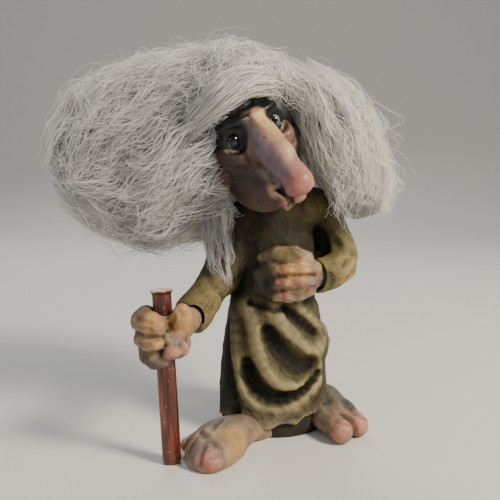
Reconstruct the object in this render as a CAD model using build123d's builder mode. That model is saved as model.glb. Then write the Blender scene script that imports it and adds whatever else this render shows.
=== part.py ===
from build123d import *
import math
import os

os.makedirs("parts", exist_ok=True)

# A folk troll figure: a cast, hand-painted body in a rough robe, glass eyes,
# a wild head of glued wool and a bark-covered twig held in the right fist.
# Millimetres. +Z is up, +X is to the viewer's right, the front faces -Y.
# The origin is the middle of the flat cast face that the figure stands on.

# Robe
robe_height = 113.0          # table to the top of the collar
robe_width = 54.0            # widest, near the hem
robe_depth = 47.0            # front to back, near the hem
robe_wall = 3.6              # cast skin of the robe
hem_front_rise = 7.0         # hem above the table, over the feet
hem_back_rise = 1.5          # hem above the table, at the back
robe_section_shares = (
    # height, half width, half depth, shift to the viewer's right
    (0.00, 1.00, 1.00, 0.010),
    (0.12, 0.99, 0.98, 0.014),
    (0.25, 0.94, 0.96, 0.020),
    (0.37, 0.90, 0.93, 0.024),
    (0.48, 0.81, 0.85, 0.008),
    (0.58, 0.76, 0.78, 0.000),
    (0.70, 0.70, 0.72, 0.022),
    (0.82, 0.68, 0.68, 0.032),
    (0.91, 0.60, 0.58, 0.022),
    (1.00, 0.37, 0.40, -0.020),
)
filling_top_share = 0.91     # of the robe's height, where the cast filling ends

# Main folds of the skirt
fold_roll_radius = 3.8       # rolls of cloth
fold_roll_rise = 1.7         # how far a roll stands out from the skirt
fold_hollow_radius = 5.0     # hollows pressed in beside the rolls
fold_hollow_depth = 2.4
crescent_radius = 3.6        # the lower, bent hollow
back_fold_low = 8.0          # soft upright folds at the back, from this height
back_fold_high = 60.0        # to this one
front_roll_shares = (
    # each roll's places: side, of the skirt's half width there, and height, of the robe's height
    ((-0.54, 0.52), (-0.35, 0.38), (-0.08, 0.26), (0.40, 0.235), (0.69, 0.28)),
    ((0.02, 0.54), (0.25, 0.44), (0.67, 0.36)),
    ((-0.85, 0.53), (-0.76, 0.36), (-0.38, 0.14)),
    ((-0.50, 0.22), (0.10, 0.135), (0.66, 0.21)),
)
upper_hollow_shares = ((-0.08, 0.43), (0.19, 0.345), (0.53, 0.295))
crescent_hollow_shares = ((-0.53, 0.31), (-0.34, 0.22), (-0.04, 0.182), (0.43, 0.205))
back_fold_shares = (0.10, 0.26, 0.51, 0.74, 0.90)    # turn of each, of the half circle round the back

# Head, its axes set by how it leans and where it looks
head_forward = Vector(0.47, -0.86, -0.20).normalized()
head_lean = Vector(-0.31, -0.373, 0.874)
head_left = head_lean.cross(head_forward).normalized()
head_up = head_forward.cross(head_left).normalized()
head_reach_side = -19.0      # collar to skull centre, to the viewer's right
head_reach_front = -12.0     # collar to skull centre, front to back
head_reach_up = 34.0         # skull centre above the collar
skull_radius = 20.5
skull_half_height = 22.5
neck_radius = 8.5
neck_seat_depth = 11.0       # how far the neck goes down into the body

eye_spacing = 21.0
eye_ahead = 20.0             # middle of the eyes ahead of the skull centre
eye_drop = 1.5               # middle of the eyes below the skull centre
eye_radius = 4.0
eye_backing_thickness = 1.2

cheekbone_ahead = 12.0       # middle of the face's mass round the eyes, from the skull centre
cheekbone_drop = 4.5
cheekbone_half_length = 12.5
cheekbone_half_width = 16.5
cheekbone_half_height = 14.5
nose_length = 40.0           # eyes' middle to the end of the nose
nose_root_radius = 7.6
nose_middle_radius = 6.8
nose_tip_radius = 6.2
nose_drop_angle = 33.0       # degrees below the way the head faces
muzzle_ahead = 15.5          # middle of the jaw from the skull centre
muzzle_drop = 23.0
muzzle_half_length = 18.5
muzzle_radius = 17.0
mouth_ahead = 31.0           # middle of the mouth's swelling from the skull centre
mouth_drop = 25.0
mouth_half_length = 12.0
mouth_half_width = 12.0
mouth_half_height = 10.0
lip_radius = 1.9
lower_lip_shares = (
    # ahead, left and up from the mouth's middle, of its half sizes
    (0.55, -0.90, 0.45),
    (0.92, -0.55, 0.02),
    (0.56, -0.32, -0.62),
    (0.00, 0.00, -1.20),
    (0.56, 0.32, -0.62),
    (0.92, 0.55, 0.02),
    (0.55, 0.90, 0.45),
)
upper_lip_shares = ((0.95, -0.35, -0.12), (1.00, 0.0, -0.40), (0.95, 0.35, -0.12))
brow_radius = 3.4
brow_rise = 7.5              # above the eyes
brow_place_shares = (
    # of the eyes' way ahead, of the eye spacing to the side, of the brow's radius
    (0.78, -0.64, 0.7),
    (1.00, -0.40, 1.0),
    (1.05, 0.00, 1.0),
    (1.00, 0.40, 1.0),
    (0.78, 0.64, 0.7),
)
cheek_radius = 8.5
cheek_half_height = 10.0
cheek_drop = 12.0            # below the eyes
cheek_ahead_share = 0.80     # of the eyes' way ahead
cheek_side_share = 0.42      # of the eye spacing

# Right arm, its hand closed round the stick
right_shoulder_radius = 9.0
right_arm_radius = 8.0
right_cuff_radius = 7.2
right_shoulder_side = -14.5
right_shoulder_drop = 14.0   # below the collar
right_arm_side = -20.5       # shoulder to cuff, to the viewer's right
right_arm_front = -27.0      # shoulder to cuff, front to back
right_arm_drop = 38.0        # shoulder to cuff
right_bend_shares = (0.55, 0.32, 0.58)     # elbow, of the three reaches above
wrist_radius = 5.0
wrist_seat_depth = 5.0
fist_reach_side = -11.0      # cuff to the middle of the fist
fist_reach_front = -18.5
fist_drop = 4.0
fist_radius = 9.5
fist_half_height = 11.5
finger_radius = 4.6
knuckle_half_length = 6.2
fist_lobe_shares = (
    # of the fist's radius to the right and front, of its half height up, size, way it lies
    (-0.55, 0.55, 0.62, 1.00, (0.75, -0.55, 0.10)),
    (-0.62, 0.62, 0.02, 0.95, (0.70, -0.60, 0.05)),
    (-0.50, 0.55, -0.58, 0.90, (0.70, -0.60, 0.00)),
    (0.72, 0.40, 0.45, 1.05, (0.15, -0.20, 1.00)),
    (0.62, 0.55, -0.40, 1.05, (0.10, -0.30, 1.00)),
)

# Left arm, bent across the belly
left_shoulder_radius = 8.5
left_arm_radius = 5.4
left_cuff_radius = 7.2
left_shoulder_side = 16.0
left_shoulder_drop = 6.0     # below the collar
left_elbow_side = 16.0       # shoulder to elbow
left_elbow_front = -3.0
left_elbow_drop = 24.0
left_forearm_side = -12.5    # elbow to cuff, to the viewer's right
left_forearm_front = -15.0
left_forearm_drop = 6.0
hand_length = 26.0           # of the hand on the belly
hand_half_height = 12.0
hand_half_thickness = 5.6
belly_finger_half_length = 8.5
belly_finger_radius = 3.3
belly_finger_reach_share = 0.20            # of the hand's length, past its middle
belly_finger_rise_shares = (0.75, 0.25, -0.25, -0.72)

# Feet
right_foot_length = 51.0
right_foot_width = 24.0
right_foot_height = 14.5
right_foot_heel_side = -4.0
right_foot_heel_front = -14.0
right_foot_turn = 28.8       # degrees that the toes turn out
left_foot_length = 39.0
left_foot_width = 22.0
left_foot_height = 19.5
left_foot_heel_side = 17.0
left_foot_heel_front = 6.0
left_foot_turn = 36.0
toe_radius = 5.0
toe_half_length = 7.5
toe_spread_share = 0.35      # how far the outer toes splay
sole_share = 0.32            # of the foot's height, from the sole up to its widest line
right_foot_section_shares = (
    # along, half width, height, middle to the outer side of the half width
    (0.00, 0.42, 0.41, -0.08),
    (0.16, 0.54, 0.62, 0.25),
    (0.33, 0.74, 0.90, 0.52),
    (0.53, 0.96, 1.00, 0.62),
    (0.71, 0.98, 0.86, 0.54),
    (0.84, 0.73, 0.66, 0.33),
    (0.94, 0.42, 0.44, 0.12),
)
right_toe_shares = (
    # along, to the outer side of the half width, size
    (0.68, 1.40, 0.72),
    (0.79, 1.05, 0.76),
    (0.87, 0.60, 0.80),
    (0.885, 0.05, 0.95),
)
left_foot_roll_shares = (
    # each roll's places: along, to the outer side of the half width, rise and radius, of the height
    ((0.00, 0.00, 0.36, 0.41), (0.31, 0.37, 0.52, 0.44), (0.83, 0.39, 0.27, 0.27)),
    ((0.21, -0.21, 0.41, 0.385), (0.864, -0.655, 0.27, 0.27)),
)

# Stick
stick_diameter = 8.0
stick_rim_diameter = 9.6     # ragged flare of bark at the top
stick_rim_height = 3.5
stick_above_fist = 6.5
stick_lean = 2.7             # degrees, its top to the viewer's left
stick_clearance = 0.4        # all round, in the bore of the fist
stick_path_clearance = 1.0   # kept free round the stick's way up

# Wool
crown_half_width = 34.0
crown_half_depth = 33.0
crown_half_height = 27.0
crown_rise = 8.5             # above the skull centre
crown_setback = 13.0         # behind the skull centre
right_sweep_length = 88.0
right_sweep_half_height = 43.0
right_sweep_half_depth = 33.0
right_sweep_setback = 10.0
right_sweep_drop = 6.0
right_sweep_shares = (
    # along, half height, half depth, middle above the root
    (0.00, 0.90, 0.88, 0.00),
    (0.20, 0.98, 0.98, -0.04),
    (0.40, 1.00, 1.00, -0.10),
    (0.60, 0.94, 0.92, -0.13),
    (0.78, 0.76, 0.74, -0.14),
    (0.90, 0.52, 0.52, -0.13),
    (0.98, 0.28, 0.28, -0.12),
    (1.00, 0.12, 0.12, -0.12),
)
left_sweep_length = 78.0
left_sweep_half_width = 20.0
left_sweep_half_depth = 27.0
left_sweep_root_shares = (0.35, 0.70)      # of the crown's half width and half height
left_sweep_shares = (
    # along, half width, half depth, middle to the viewer's right
    (0.00, 0.60, 0.70, 0.16),
    (0.12, 0.95, 0.90, 0.30),
    (0.31, 1.00, 1.00, 0.43),
    (0.50, 0.97, 0.96, 0.52),
    (0.70, 0.87, 0.84, 0.58),
    (0.89, 0.72, 0.64, 0.63),
    (1.00, 0.35, 0.32, 0.65),
)
back_half_width = 34.0
back_half_depth = 20.0
back_half_height = 38.0
back_setback = 29.0          # behind the skull centre
back_drop = 10.0             # below the skull centre
fringe_length = 42.0
fringe_radius = 6.0
fringe_place_shares = (
    # of the skull's radius ahead, of the half length to the side, of the skull's radius up, size
    (0.55, -1.0, 0.50, 0.8),
    (0.88, -0.5, 0.80, 1.0),
    (0.95, 0.0, 0.92, 1.0),
    (0.88, 0.5, 0.80, 1.0),
    (0.55, 1.0, 0.50, 0.8),
)
lock_length = 46.0
lock_half_width = 8.0
lock_half_depth = 2.8
lock_seat = 0.3              # between the hanging lock and the sleeve
lock_place_shares = (
    # along, size, forward of the root by the lock's depth
    (0.00, 0.80, 0.0),
    (0.30, 1.00, -0.6),
    (0.60, 0.90, -0.6),
    (0.85, 0.60, -0.5),
    (1.00, 0.25, -0.4),
)
lock_slant_share = 0.35      # of its half width, to the viewer's right on the way down
face_half_width = 17.5       # bare face between the tufts
face_half_height = 30.0
face_window_shares = (
    # of the skull's radius ahead, of the muzzle's drop down, half width, half height
    (0.0, 0.35, 0.5, 0.50),
    (1.0, 0.45, 1.0, 0.85),
    (2.0, 0.60, 1.3, 1.00),
    (4.0, 0.80, 1.8, 1.20),
)

# Named places
collar_shift_share = robe_section_shares[-1][3]
collar = Vector(robe_width * collar_shift_share, 0, robe_height)
skull = collar + Vector(head_reach_side, head_reach_front, head_reach_up)
right_shoulder = collar + Vector(right_shoulder_side, 0, -right_shoulder_drop)
right_bend = right_shoulder + Vector(
    right_arm_side * right_bend_shares[0],
    right_arm_front * right_bend_shares[1],
    -right_arm_drop * right_bend_shares[2],
)
right_cuff = right_shoulder + Vector(right_arm_side, right_arm_front, -right_arm_drop)
fist = right_cuff + Vector(fist_reach_side, fist_reach_front, -fist_drop)
left_shoulder = collar + Vector(left_shoulder_side, 0, -left_shoulder_drop)
left_elbow = left_shoulder + Vector(left_elbow_side, left_elbow_front, -left_elbow_drop)
left_cuff = left_elbow + Vector(left_forearm_side, left_forearm_front, -left_forearm_drop)

stick_way = Vector(-math.sin(math.radians(stick_lean)), 0, math.cos(math.radians(stick_lean)))
stick_foot_rise = stick_diameter / 2 * math.sin(math.radians(stick_lean))
stick_foot = fist - stick_way * ((fist.Z - stick_foot_rise) / stick_way.Z)
stick_to_fist = (fist - stick_foot).length
stick_length = stick_to_fist + fist_half_height + stick_above_fist
stick_travel = stick_to_fist + fist_half_height


def head_point(ahead, left, up):
    """Place on the head, measured from the skull centre along the head's own axes."""
    return skull + head_forward * ahead + head_left * left + head_up * up


def tilted_way(forward, up, drop_angle):
    """Direction that falls away from forward by an angle in degrees."""
    return forward * math.cos(math.radians(drop_angle)) - up * math.sin(math.radians(drop_angle))


def swelling(stations, across):
    """Smooth solid through ellipses: (point, half size along across, half size square to it)."""
    points = [Vector(station[0]) for station in stations]
    last = len(points) - 1
    with BuildPart() as form:
        for index, station in enumerate(stations):
            normal = (points[min(index + 1, last)] - points[max(index - 1, 0)]).normalized()
            side = Vector(across)
            flat_side = side - normal * side.dot(normal)
            with BuildSketch(Plane(origin=points[index], x_dir=flat_side, z_dir=normal)):
                Ellipse(station[1], station[2])
        loft()
    return form.part


def rounded_roll(points, radii, across):
    """Soft roll through the points, its two ends closed by domes."""
    dome_shares = (0.95, 0.70)
    first_way = (points[0] - points[1]).normalized()
    last_way = (points[-1] - points[-2]).normalized()
    stations = []
    for share in dome_shares:
        stations.append((points[0] + first_way * radii[0] * share, radii[0] * math.sqrt(1 - share**2)))
    stations += list(zip(points, radii))
    for share in reversed(dome_shares):
        stations.append((points[-1] + last_way * radii[-1] * share, radii[-1] * math.sqrt(1 - share**2)))
    return swelling([(point, radius, radius) for point, radius in stations], across)


def limb(points, radii):
    """Limb of tapered lengths with a ball at each bend, cut off square at its far end."""
    with BuildPart() as form:
        for start, end, start_radius, end_radius in zip(points, points[1:], radii, radii[1:]):
            with Locations(start):
                Sphere(start_radius)
            with Locations(Plane(origin=start, z_dir=end - start)):
                Cone(
                    start_radius,
                    end_radius,
                    (end - start).length,
                    align=(Align.CENTER, Align.CENTER, Align.MIN),
                )
    return form.part


def peg(start, way, radius, length):
    """Round peg from a start point along a direction."""
    with BuildPart() as form:
        with BuildSketch(Plane(origin=start, z_dir=way)):
            Circle(radius)
        extrude(amount=length)
    return form.part


def roll_through(points, radius):
    """Round roll of one thickness, with a ball at each of its points."""
    with BuildPart() as form:
        with Locations(points):
            Sphere(radius)
        for start, end in zip(points, points[1:]):
            with BuildSketch(Plane(origin=start, z_dir=end - start)):
                Circle(radius)
            extrude(amount=(end - start).length)
    return form.part


def pill(centre, toward, half_length, radius):
    """Straight roll with a ball at each end, or one ball where it is no longer than that."""
    half_straight = Vector(toward).normalized() * max(half_length - radius, 0)
    ends = [centre - half_straight, centre + half_straight] if half_straight.length > 0 else [centre]
    return roll_through(ends, radius)


def tuft(centre, along, half_length, half_across, half_other, across):
    """Lump with three different half sizes."""
    place_shares = (-0.97, -0.78, -0.42, 0.0, 0.42, 0.78, 0.97)
    along = Vector(along).normalized()
    stations = []
    for share in place_shares:
        swell = math.sqrt(1 - share**2)
        stations.append((centre + along * half_length * share, half_across * swell, half_other * swell))
    return swelling(stations, across)


def robe_form(wall, top_share):
    """The robe's swelling body, drawn in by a wall and cut off at a share of its height."""
    with BuildPart() as form:
        for height, half_width, half_depth, shift in robe_section_shares:
            if height <= top_share:
                with BuildSketch(Plane(origin=(robe_width * shift, 0, robe_height * height))):
                    Ellipse(robe_width / 2 * half_width - wall, robe_depth / 2 * half_depth - wall)
        loft()
    return form.part


def skirt_point(side_share, height, out, behind=False):
    """Place at a height on the robe's front or back, moved out from its skin."""
    rows = list(zip(robe_section_shares, robe_section_shares[1:]))
    low, high = [pair for pair in rows if pair[0][0] * robe_height <= height][-1]
    blend = (height / robe_height - low[0]) / (high[0] - low[0])
    half_width, half_depth, shift = [a + (b - a) * blend for a, b in zip(low[1:], high[1:])]
    half_width = robe_width / 2 * half_width + out
    half_depth = robe_depth / 2 * half_depth + out
    toward_back = 1 if behind else -1
    return Vector(
        robe_width * shift + half_width * side_share,
        toward_back * half_depth * math.sqrt(1 - side_share**2),
        height,
    )


def foot_ways(turn):
    """Way the toes point and the way to the foot's outer side, for a foot turned by an angle."""
    way = Vector(math.sin(math.radians(turn)), -math.cos(math.radians(turn)), 0)
    return way, way.cross(Vector(0, 0, 1)) * -math.copysign(1, turn)


# Forms that several pieces share
robe_outside = robe_form(0, 1)
filling_form = robe_form(robe_wall, filling_top_share)
neck_foot = collar - Vector(0, 0, neck_seat_depth)
neck_point_shares = (0.25, 0.75)
neck_points = [neck_foot, (neck_foot + collar) / 2]
neck_points += [collar + (skull - collar) * share for share in neck_point_shares]
neck_form = swelling([(point, neck_radius, neck_radius) for point in neck_points], (1, 0, 0))
stick_path = peg(
    stick_foot,
    stick_way,
    stick_rim_diameter / 2 + stick_path_clearance,
    stick_length + stick_travel + stick_path_clearance,
)
fist_bore = peg(stick_foot, stick_way, stick_diameter / 2 + stick_clearance, stick_length)

# Right foot: a broad paw with a flat sole, its small toes along the outer side
right_heel = Vector(right_foot_heel_side, right_foot_heel_front, 0)
right_foot_way, right_foot_side = foot_ways(-right_foot_turn)
right_foot_stations = []
for along, half_width, rise, shift in right_foot_section_shares:
    middle = right_heel + right_foot_way * right_foot_length * along
    middle += right_foot_side * right_foot_width / 2 * shift
    middle += Vector(0, 0, right_foot_height * rise * sole_share)
    right_foot_stations.append(
        (middle, right_foot_width / 2 * half_width, right_foot_height * rise * (1 - sole_share))
    )
right_toes = []
for along, across, size in right_toe_shares:
    middle = right_heel + right_foot_way * right_foot_length * along
    middle += right_foot_side * right_foot_width / 2 * across
    middle += Vector(0, 0, toe_radius * size * (1 - sole_share / 2))
    splay = right_foot_way + right_foot_side * across * toe_spread_share
    right_toes.append(pill(middle, splay, toe_half_length * size, toe_radius * size))
with BuildPart() as right_foot_solid:
    add(swelling(right_foot_stations, right_foot_side))
    add(right_toes)
    split(bisect_by=Plane.XY, keep=Keep.TOP)
right_foot_form = right_foot_solid.part

# Left foot: two long toes that run down from under the robe
left_heel = Vector(left_foot_heel_side, left_foot_heel_front, 0)
left_foot_way, left_foot_side = foot_ways(left_foot_turn)
left_foot_rolls = []
left_foot_tips = []
for places in left_foot_roll_shares:
    points = []
    for along, across, rise, thick in places:
        point = left_heel + left_foot_way * left_foot_length * along
        point += left_foot_side * left_foot_width / 2 * across
        points.append(point + Vector(0, 0, left_foot_height * rise))
    radii = [left_foot_height * thick for along, across, rise, thick in places]
    left_foot_rolls.append(limb(points, radii))
    left_foot_tips.append(roll_through(points[-1:], radii[-1]))
with BuildPart() as left_foot_solid:
    add(left_foot_rolls)
    add(left_foot_tips)
    split(bisect_by=Plane.XY, keep=Keep.TOP)
left_foot_form = left_foot_solid.part

with BuildPart() as right_foot:
    add(right_foot_form)
    add(stick_path, mode=Mode.SUBTRACT)
right_foot.part.label = "right_foot"

with BuildPart() as left_foot:
    add(left_foot_form)
left_foot.part.label = "left_foot"

# Cast filling of the body, with the flat face that the figure stands on
with BuildPart() as body_filling:
    add(filling_form)
    add(neck_form, mode=Mode.SUBTRACT)
    add(right_foot_form, mode=Mode.SUBTRACT)
    add(left_foot_form, mode=Mode.SUBTRACT)
body_filling.part.label = "body_filling"

# Robe: a skin round the filling, its hem raised over the feet, with its main folds
hem_middle_rise = (hem_front_rise + hem_back_rise) / 2
hem_slope = Vector(0, hem_front_rise - hem_back_rise, robe_depth).normalized()


def cloth_line(place_shares, out):
    """Places along one fold of the skirt's front."""
    return [skirt_point(side_share, robe_height * height, out) for side_share, height in place_shares]


roll_out = fold_roll_rise - fold_roll_radius
rolls = [
    roll_through(cloth_line(place_shares, roll_out), fold_roll_radius) for place_shares in front_roll_shares
]
for turn_share in back_fold_shares:
    side_share = math.cos(math.pi * turn_share)
    ends = [skirt_point(side_share, height, roll_out, True) for height in (back_fold_low, back_fold_high)]
    rolls.append(roll_through(ends, fold_roll_radius))
hollows = [
    roll_through(cloth_line(place_shares, radius - fold_hollow_depth), radius)
    for place_shares, radius in (
        (upper_hollow_shares, fold_hollow_radius),
        (crescent_hollow_shares, crescent_radius),
    )
]

with BuildPart() as robe:
    add(robe_outside)
    add(rolls)
    add(hollows, mode=Mode.SUBTRACT)
    split(bisect_by=Plane(origin=(0, 0, hem_middle_rise), z_dir=hem_slope), keep=Keep.TOP)
    add(filling_form, mode=Mode.SUBTRACT)
    add(neck_form, mode=Mode.SUBTRACT)
    add(right_foot_form, mode=Mode.SUBTRACT)
    add(left_foot_form, mode=Mode.SUBTRACT)
robe.part.label = "robe"

# Right sleeve and the fist round the stick
right_arm_form = limb(
    [right_shoulder, right_bend, right_cuff],
    [right_shoulder_radius, right_arm_radius, right_cuff_radius],
)
right_wrist_way = (fist - right_cuff).normalized()
right_wrist = peg(
    right_cuff - right_wrist_way * wrist_seat_depth,
    right_wrist_way,
    wrist_radius,
    wrist_seat_depth + (fist - right_cuff).length - fist_radius / 2,
)

with BuildPart() as right_sleeve:
    add(right_arm_form)
    add(robe_outside, mode=Mode.SUBTRACT)
    add(right_wrist, mode=Mode.SUBTRACT)
right_sleeve.part.label = "right_sleeve"

with BuildPart() as right_hand:
    add(pill(fist, stick_way, fist_half_height, fist_radius))
    for to_right, to_front, rise, size, lie in fist_lobe_shares:
        lobe = fist + Vector(to_right * fist_radius, -to_front * fist_radius, rise * fist_half_height)
        add(pill(lobe, lie, knuckle_half_length * size, finger_radius * size))
    add(right_wrist)
    add(fist_bore, mode=Mode.SUBTRACT)
right_hand.part.label = "right_hand"

# Left sleeve and the hand on the belly
left_forearm_middle = (left_elbow + left_cuff) / 2
left_forearm_share = 0.95    # of the cuff's radius, halfway along the forearm
left_arm_form = limb(
    [left_shoulder, left_elbow, left_forearm_middle, left_cuff],
    [left_shoulder_radius, left_arm_radius, left_cuff_radius * left_forearm_share, left_cuff_radius],
)
hand_way = Vector(-1, -0.30, 0).normalized()
hand_middle = left_cuff + hand_way * hand_length / 2
left_wrist = peg(left_cuff - hand_way * wrist_seat_depth, hand_way, wrist_radius, 2 * wrist_seat_depth)

with BuildPart() as left_sleeve:
    add(left_arm_form)
    add(robe_outside, mode=Mode.SUBTRACT)
    add(left_wrist, mode=Mode.SUBTRACT)
left_sleeve.part.label = "left_sleeve"

finger_root = hand_middle + hand_way * hand_length * belly_finger_reach_share
with BuildPart() as left_hand:
    add(tuft(hand_middle, hand_way, hand_length / 2, hand_half_height, hand_half_thickness, (0, 0, 1)))
    for rise_share in belly_finger_rise_shares:
        finger = finger_root + Vector(0, -hand_half_thickness / 2, hand_half_height * rise_share)
        add(pill(finger, hand_way, belly_finger_half_length, belly_finger_radius))
    add(left_wrist)
    add(robe_outside, mode=Mode.SUBTRACT)
    add(left_sleeve.part, mode=Mode.SUBTRACT)
left_hand.part.label = "left_hand"

# Glass eyes: a clear dome in front of a painted backing, set into round sockets
eye_sides = {"right": -1, "left": 1}
eye_lenses = []
eye_backings = []
eye_sockets = []
for side_name, side in eye_sides.items():
    eye_centre = head_point(eye_ahead, side * eye_spacing / 2, -eye_drop)
    eye_ball = pill(eye_centre, head_forward, eye_radius, eye_radius)
    eye_front = Plane(origin=eye_centre, z_dir=head_forward)
    eye_back = Plane(origin=eye_centre - head_forward * eye_backing_thickness, z_dir=head_forward)
    with BuildPart() as eye_lens:
        add(eye_ball)
        split(bisect_by=eye_front, keep=Keep.TOP)
    eye_lens.part.label = f"{side_name}_eye_lens"
    eye_lenses.append(eye_lens)
    with BuildPart() as eye_backing:
        add(eye_ball)
        split(bisect_by=eye_front, keep=Keep.BOTTOM)
        split(bisect_by=eye_back, keep=Keep.TOP)
    eye_backing.part.label = f"{side_name}_eye_backing"
    eye_backings.append(eye_backing)
    with BuildPart() as eye_socket:
        add(eye_ball)
        split(bisect_by=eye_back, keep=Keep.TOP)
    eye_sockets.append(eye_socket.part)

# Head: skull, muzzle, brow, cheeks, nose and lips on one neck
nose_way = tilted_way(head_forward, head_up, nose_drop_angle)
nose_root = head_point(eye_ahead, 0, -eye_drop)
nose_tip = nose_root + nose_way * (nose_length - nose_tip_radius)
nose_form = rounded_roll(
    [nose_root, (nose_root + nose_tip) / 2, nose_tip],
    [nose_root_radius, nose_middle_radius, nose_tip_radius],
    head_left,
)
cheekbones = head_point(cheekbone_ahead, 0, -cheekbone_drop)
muzzle = head_point(muzzle_ahead, 0, -muzzle_drop)
mouth = head_point(mouth_ahead, 0, -mouth_drop)
brow_form = rounded_roll(
    [
        head_point(eye_ahead * ahead, eye_spacing * left, brow_rise - eye_drop)
        for ahead, left, size in brow_place_shares
    ],
    [brow_radius * size for ahead, left, size in brow_place_shares],
    head_up,
)


def lip_form(place_shares):
    """One lip, laid over the mouth's swelling."""
    points = []
    for ahead, left, up in place_shares:
        point = mouth + head_forward * mouth_half_length * ahead
        points.append(point + head_left * mouth_half_width * left + head_up * mouth_half_height * up)
    return roll_through(points, lip_radius)


with BuildPart() as head:
    add(tuft(skull, head_up, skull_half_height, skull_radius, skull_radius, head_left))
    add(
        tuft(
            cheekbones,
            head_forward,
            cheekbone_half_length,
            cheekbone_half_width,
            cheekbone_half_height,
            head_left,
        )
    )
    add(tuft(muzzle, head_forward, muzzle_half_length, muzzle_radius, muzzle_radius, head_left))
    add(tuft(mouth, head_forward, mouth_half_length, mouth_half_width, mouth_half_height, head_left))
    add(nose_form)
    add(brow_form)
    for side in eye_sides.values():
        cheek = head_point(
            eye_ahead * cheek_ahead_share, side * eye_spacing * cheek_side_share, -eye_drop - cheek_drop
        )
        add(pill(cheek, head_up, cheek_half_height, cheek_radius))
    add(lip_form(lower_lip_shares))
    add(lip_form(upper_lip_shares))
    add(neck_form)
    add(eye_sockets, mode=Mode.SUBTRACT)
    add(robe.part, mode=Mode.SUBTRACT)
head.part.label = "head"

# Stick: a twig with a ragged flare of bark at the top
rim_start = stick_foot + stick_way * (stick_length - stick_rim_height)
with BuildPart() as walking_stick:
    with BuildSketch(Plane(origin=stick_foot, z_dir=stick_way)):
        Circle(stick_diameter / 2)
    extrude(amount=stick_length)
    with BuildSketch(Plane(origin=rim_start, z_dir=stick_way)):
        Circle(stick_diameter / 2)
    with BuildSketch(Plane(origin=rim_start + stick_way * stick_rim_height, z_dir=stick_way)):
        Circle(stick_rim_diameter / 2)
    loft()
walking_stick.part.label = "walking_stick"

# Wool: glued tufts round the head, the face left bare
crown_middle = skull + Vector(0, crown_setback, crown_rise)
crown_form = tuft(
    crown_middle, (1, 0, 0), crown_half_width, crown_half_depth, crown_half_height, (0, 1, 0)
)
right_sweep_root = skull + Vector(0, right_sweep_setback, -right_sweep_drop)
right_sweep_form = swelling(
    [
        (
            right_sweep_root + Vector(-along, 0, rise) * right_sweep_length,
            right_sweep_half_depth * half_depth,
            right_sweep_half_height * half_height,
        )
        for along, half_height, half_depth, rise in right_sweep_shares
    ],
    (0, 1, 0),
)
left_sweep_root = crown_middle + Vector(
    crown_half_width * left_sweep_root_shares[0], 0, crown_half_height * left_sweep_root_shares[1]
)
left_sweep_form = swelling(
    [
        (
            left_sweep_root + Vector(shift, 0, -along) * left_sweep_length,
            left_sweep_half_width * half_width,
            left_sweep_half_depth * half_depth,
        )
        for along, half_width, half_depth, shift in left_sweep_shares
    ],
    (1, 0, 0),
)
back_middle = skull + Vector(0, back_setback, -back_drop)
back_form = tuft(back_middle, (0, 0, 1), back_half_height, back_half_width, back_half_depth, (1, 0, 0))
fringe_form = rounded_roll(
    [
        head_point(skull_radius * ahead, fringe_length / 2 * left, skull_radius * up)
        for ahead, left, up, size in fringe_place_shares
    ],
    [fringe_radius * size for ahead, left, up, size in fringe_place_shares],
    head_up,
)
lock_root = right_shoulder + Vector(
    -right_shoulder_radius, -right_shoulder_radius - lock_half_depth - lock_seat, right_shoulder_radius * 2
)
lock_form = swelling(
    [
        (
            lock_root
            + Vector(
                lock_half_width * lock_slant_share * along,
                lock_half_depth * 2 * fore,
                -lock_length * along,
            ),
            lock_half_width * size,
            lock_half_depth * size,
        )
        for along, size, fore in lock_place_shares
    ],
    (1, 0, 0),
)
face_window = swelling(
    [
        (
            head_point(skull_radius * ahead, 0, -muzzle_drop * down),
            face_half_width * half_width,
            face_half_height * half_height,
        )
        for ahead, down, half_width, half_height in face_window_shares
    ],
    head_left,
)

hair_nodes = []
hair_cuts = [head.part, face_window, robe_outside, right_arm_form, left_arm_form, stick_path]
hair_cuts += [eye_lens.part for eye_lens in eye_lenses]
hair_forms = {
    "hair_crown": crown_form,
    "hair_right_sweep": right_sweep_form,
    "hair_left_sweep": left_sweep_form,
    "hair_back": back_form,
    "hair_fringe": fringe_form,
    "hair_hanging_lock": lock_form,
}
for label, form in hair_forms.items():
    with BuildPart() as hair:
        add(form)
        add(hair_cuts, mode=Mode.SUBTRACT)
    hair.part.label = label
    hair_nodes.append(hair)
    hair_cuts.append(form)

nodes = [robe, body_filling, right_sleeve, left_sleeve, right_hand, left_hand, head]
nodes += [right_foot, left_foot, walking_stick]
nodes += eye_lenses + eye_backings + hair_nodes
for node in nodes:
    export_step(node.part, f"parts/{node.part.label}.step")
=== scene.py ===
"""Looks of the troll figure: sculpted and painted skins, glass eyes, twig and wool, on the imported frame."""

import math

import bpy
import numpy as np
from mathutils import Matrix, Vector


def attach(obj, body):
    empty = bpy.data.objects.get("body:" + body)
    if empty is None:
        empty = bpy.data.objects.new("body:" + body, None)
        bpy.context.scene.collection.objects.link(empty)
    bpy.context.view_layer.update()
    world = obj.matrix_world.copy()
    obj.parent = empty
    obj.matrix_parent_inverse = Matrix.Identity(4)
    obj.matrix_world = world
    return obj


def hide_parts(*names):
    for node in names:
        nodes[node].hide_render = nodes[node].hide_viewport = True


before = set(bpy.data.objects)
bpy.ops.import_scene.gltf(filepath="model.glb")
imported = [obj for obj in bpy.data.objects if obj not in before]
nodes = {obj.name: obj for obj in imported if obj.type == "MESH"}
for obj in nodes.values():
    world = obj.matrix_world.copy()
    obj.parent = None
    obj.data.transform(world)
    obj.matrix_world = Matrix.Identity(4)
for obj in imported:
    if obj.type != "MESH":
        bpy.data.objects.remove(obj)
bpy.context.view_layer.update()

# Lengths below are in millimetres, in the row's frame, and become metres when a mesh is made
MM = 0.001
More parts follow.
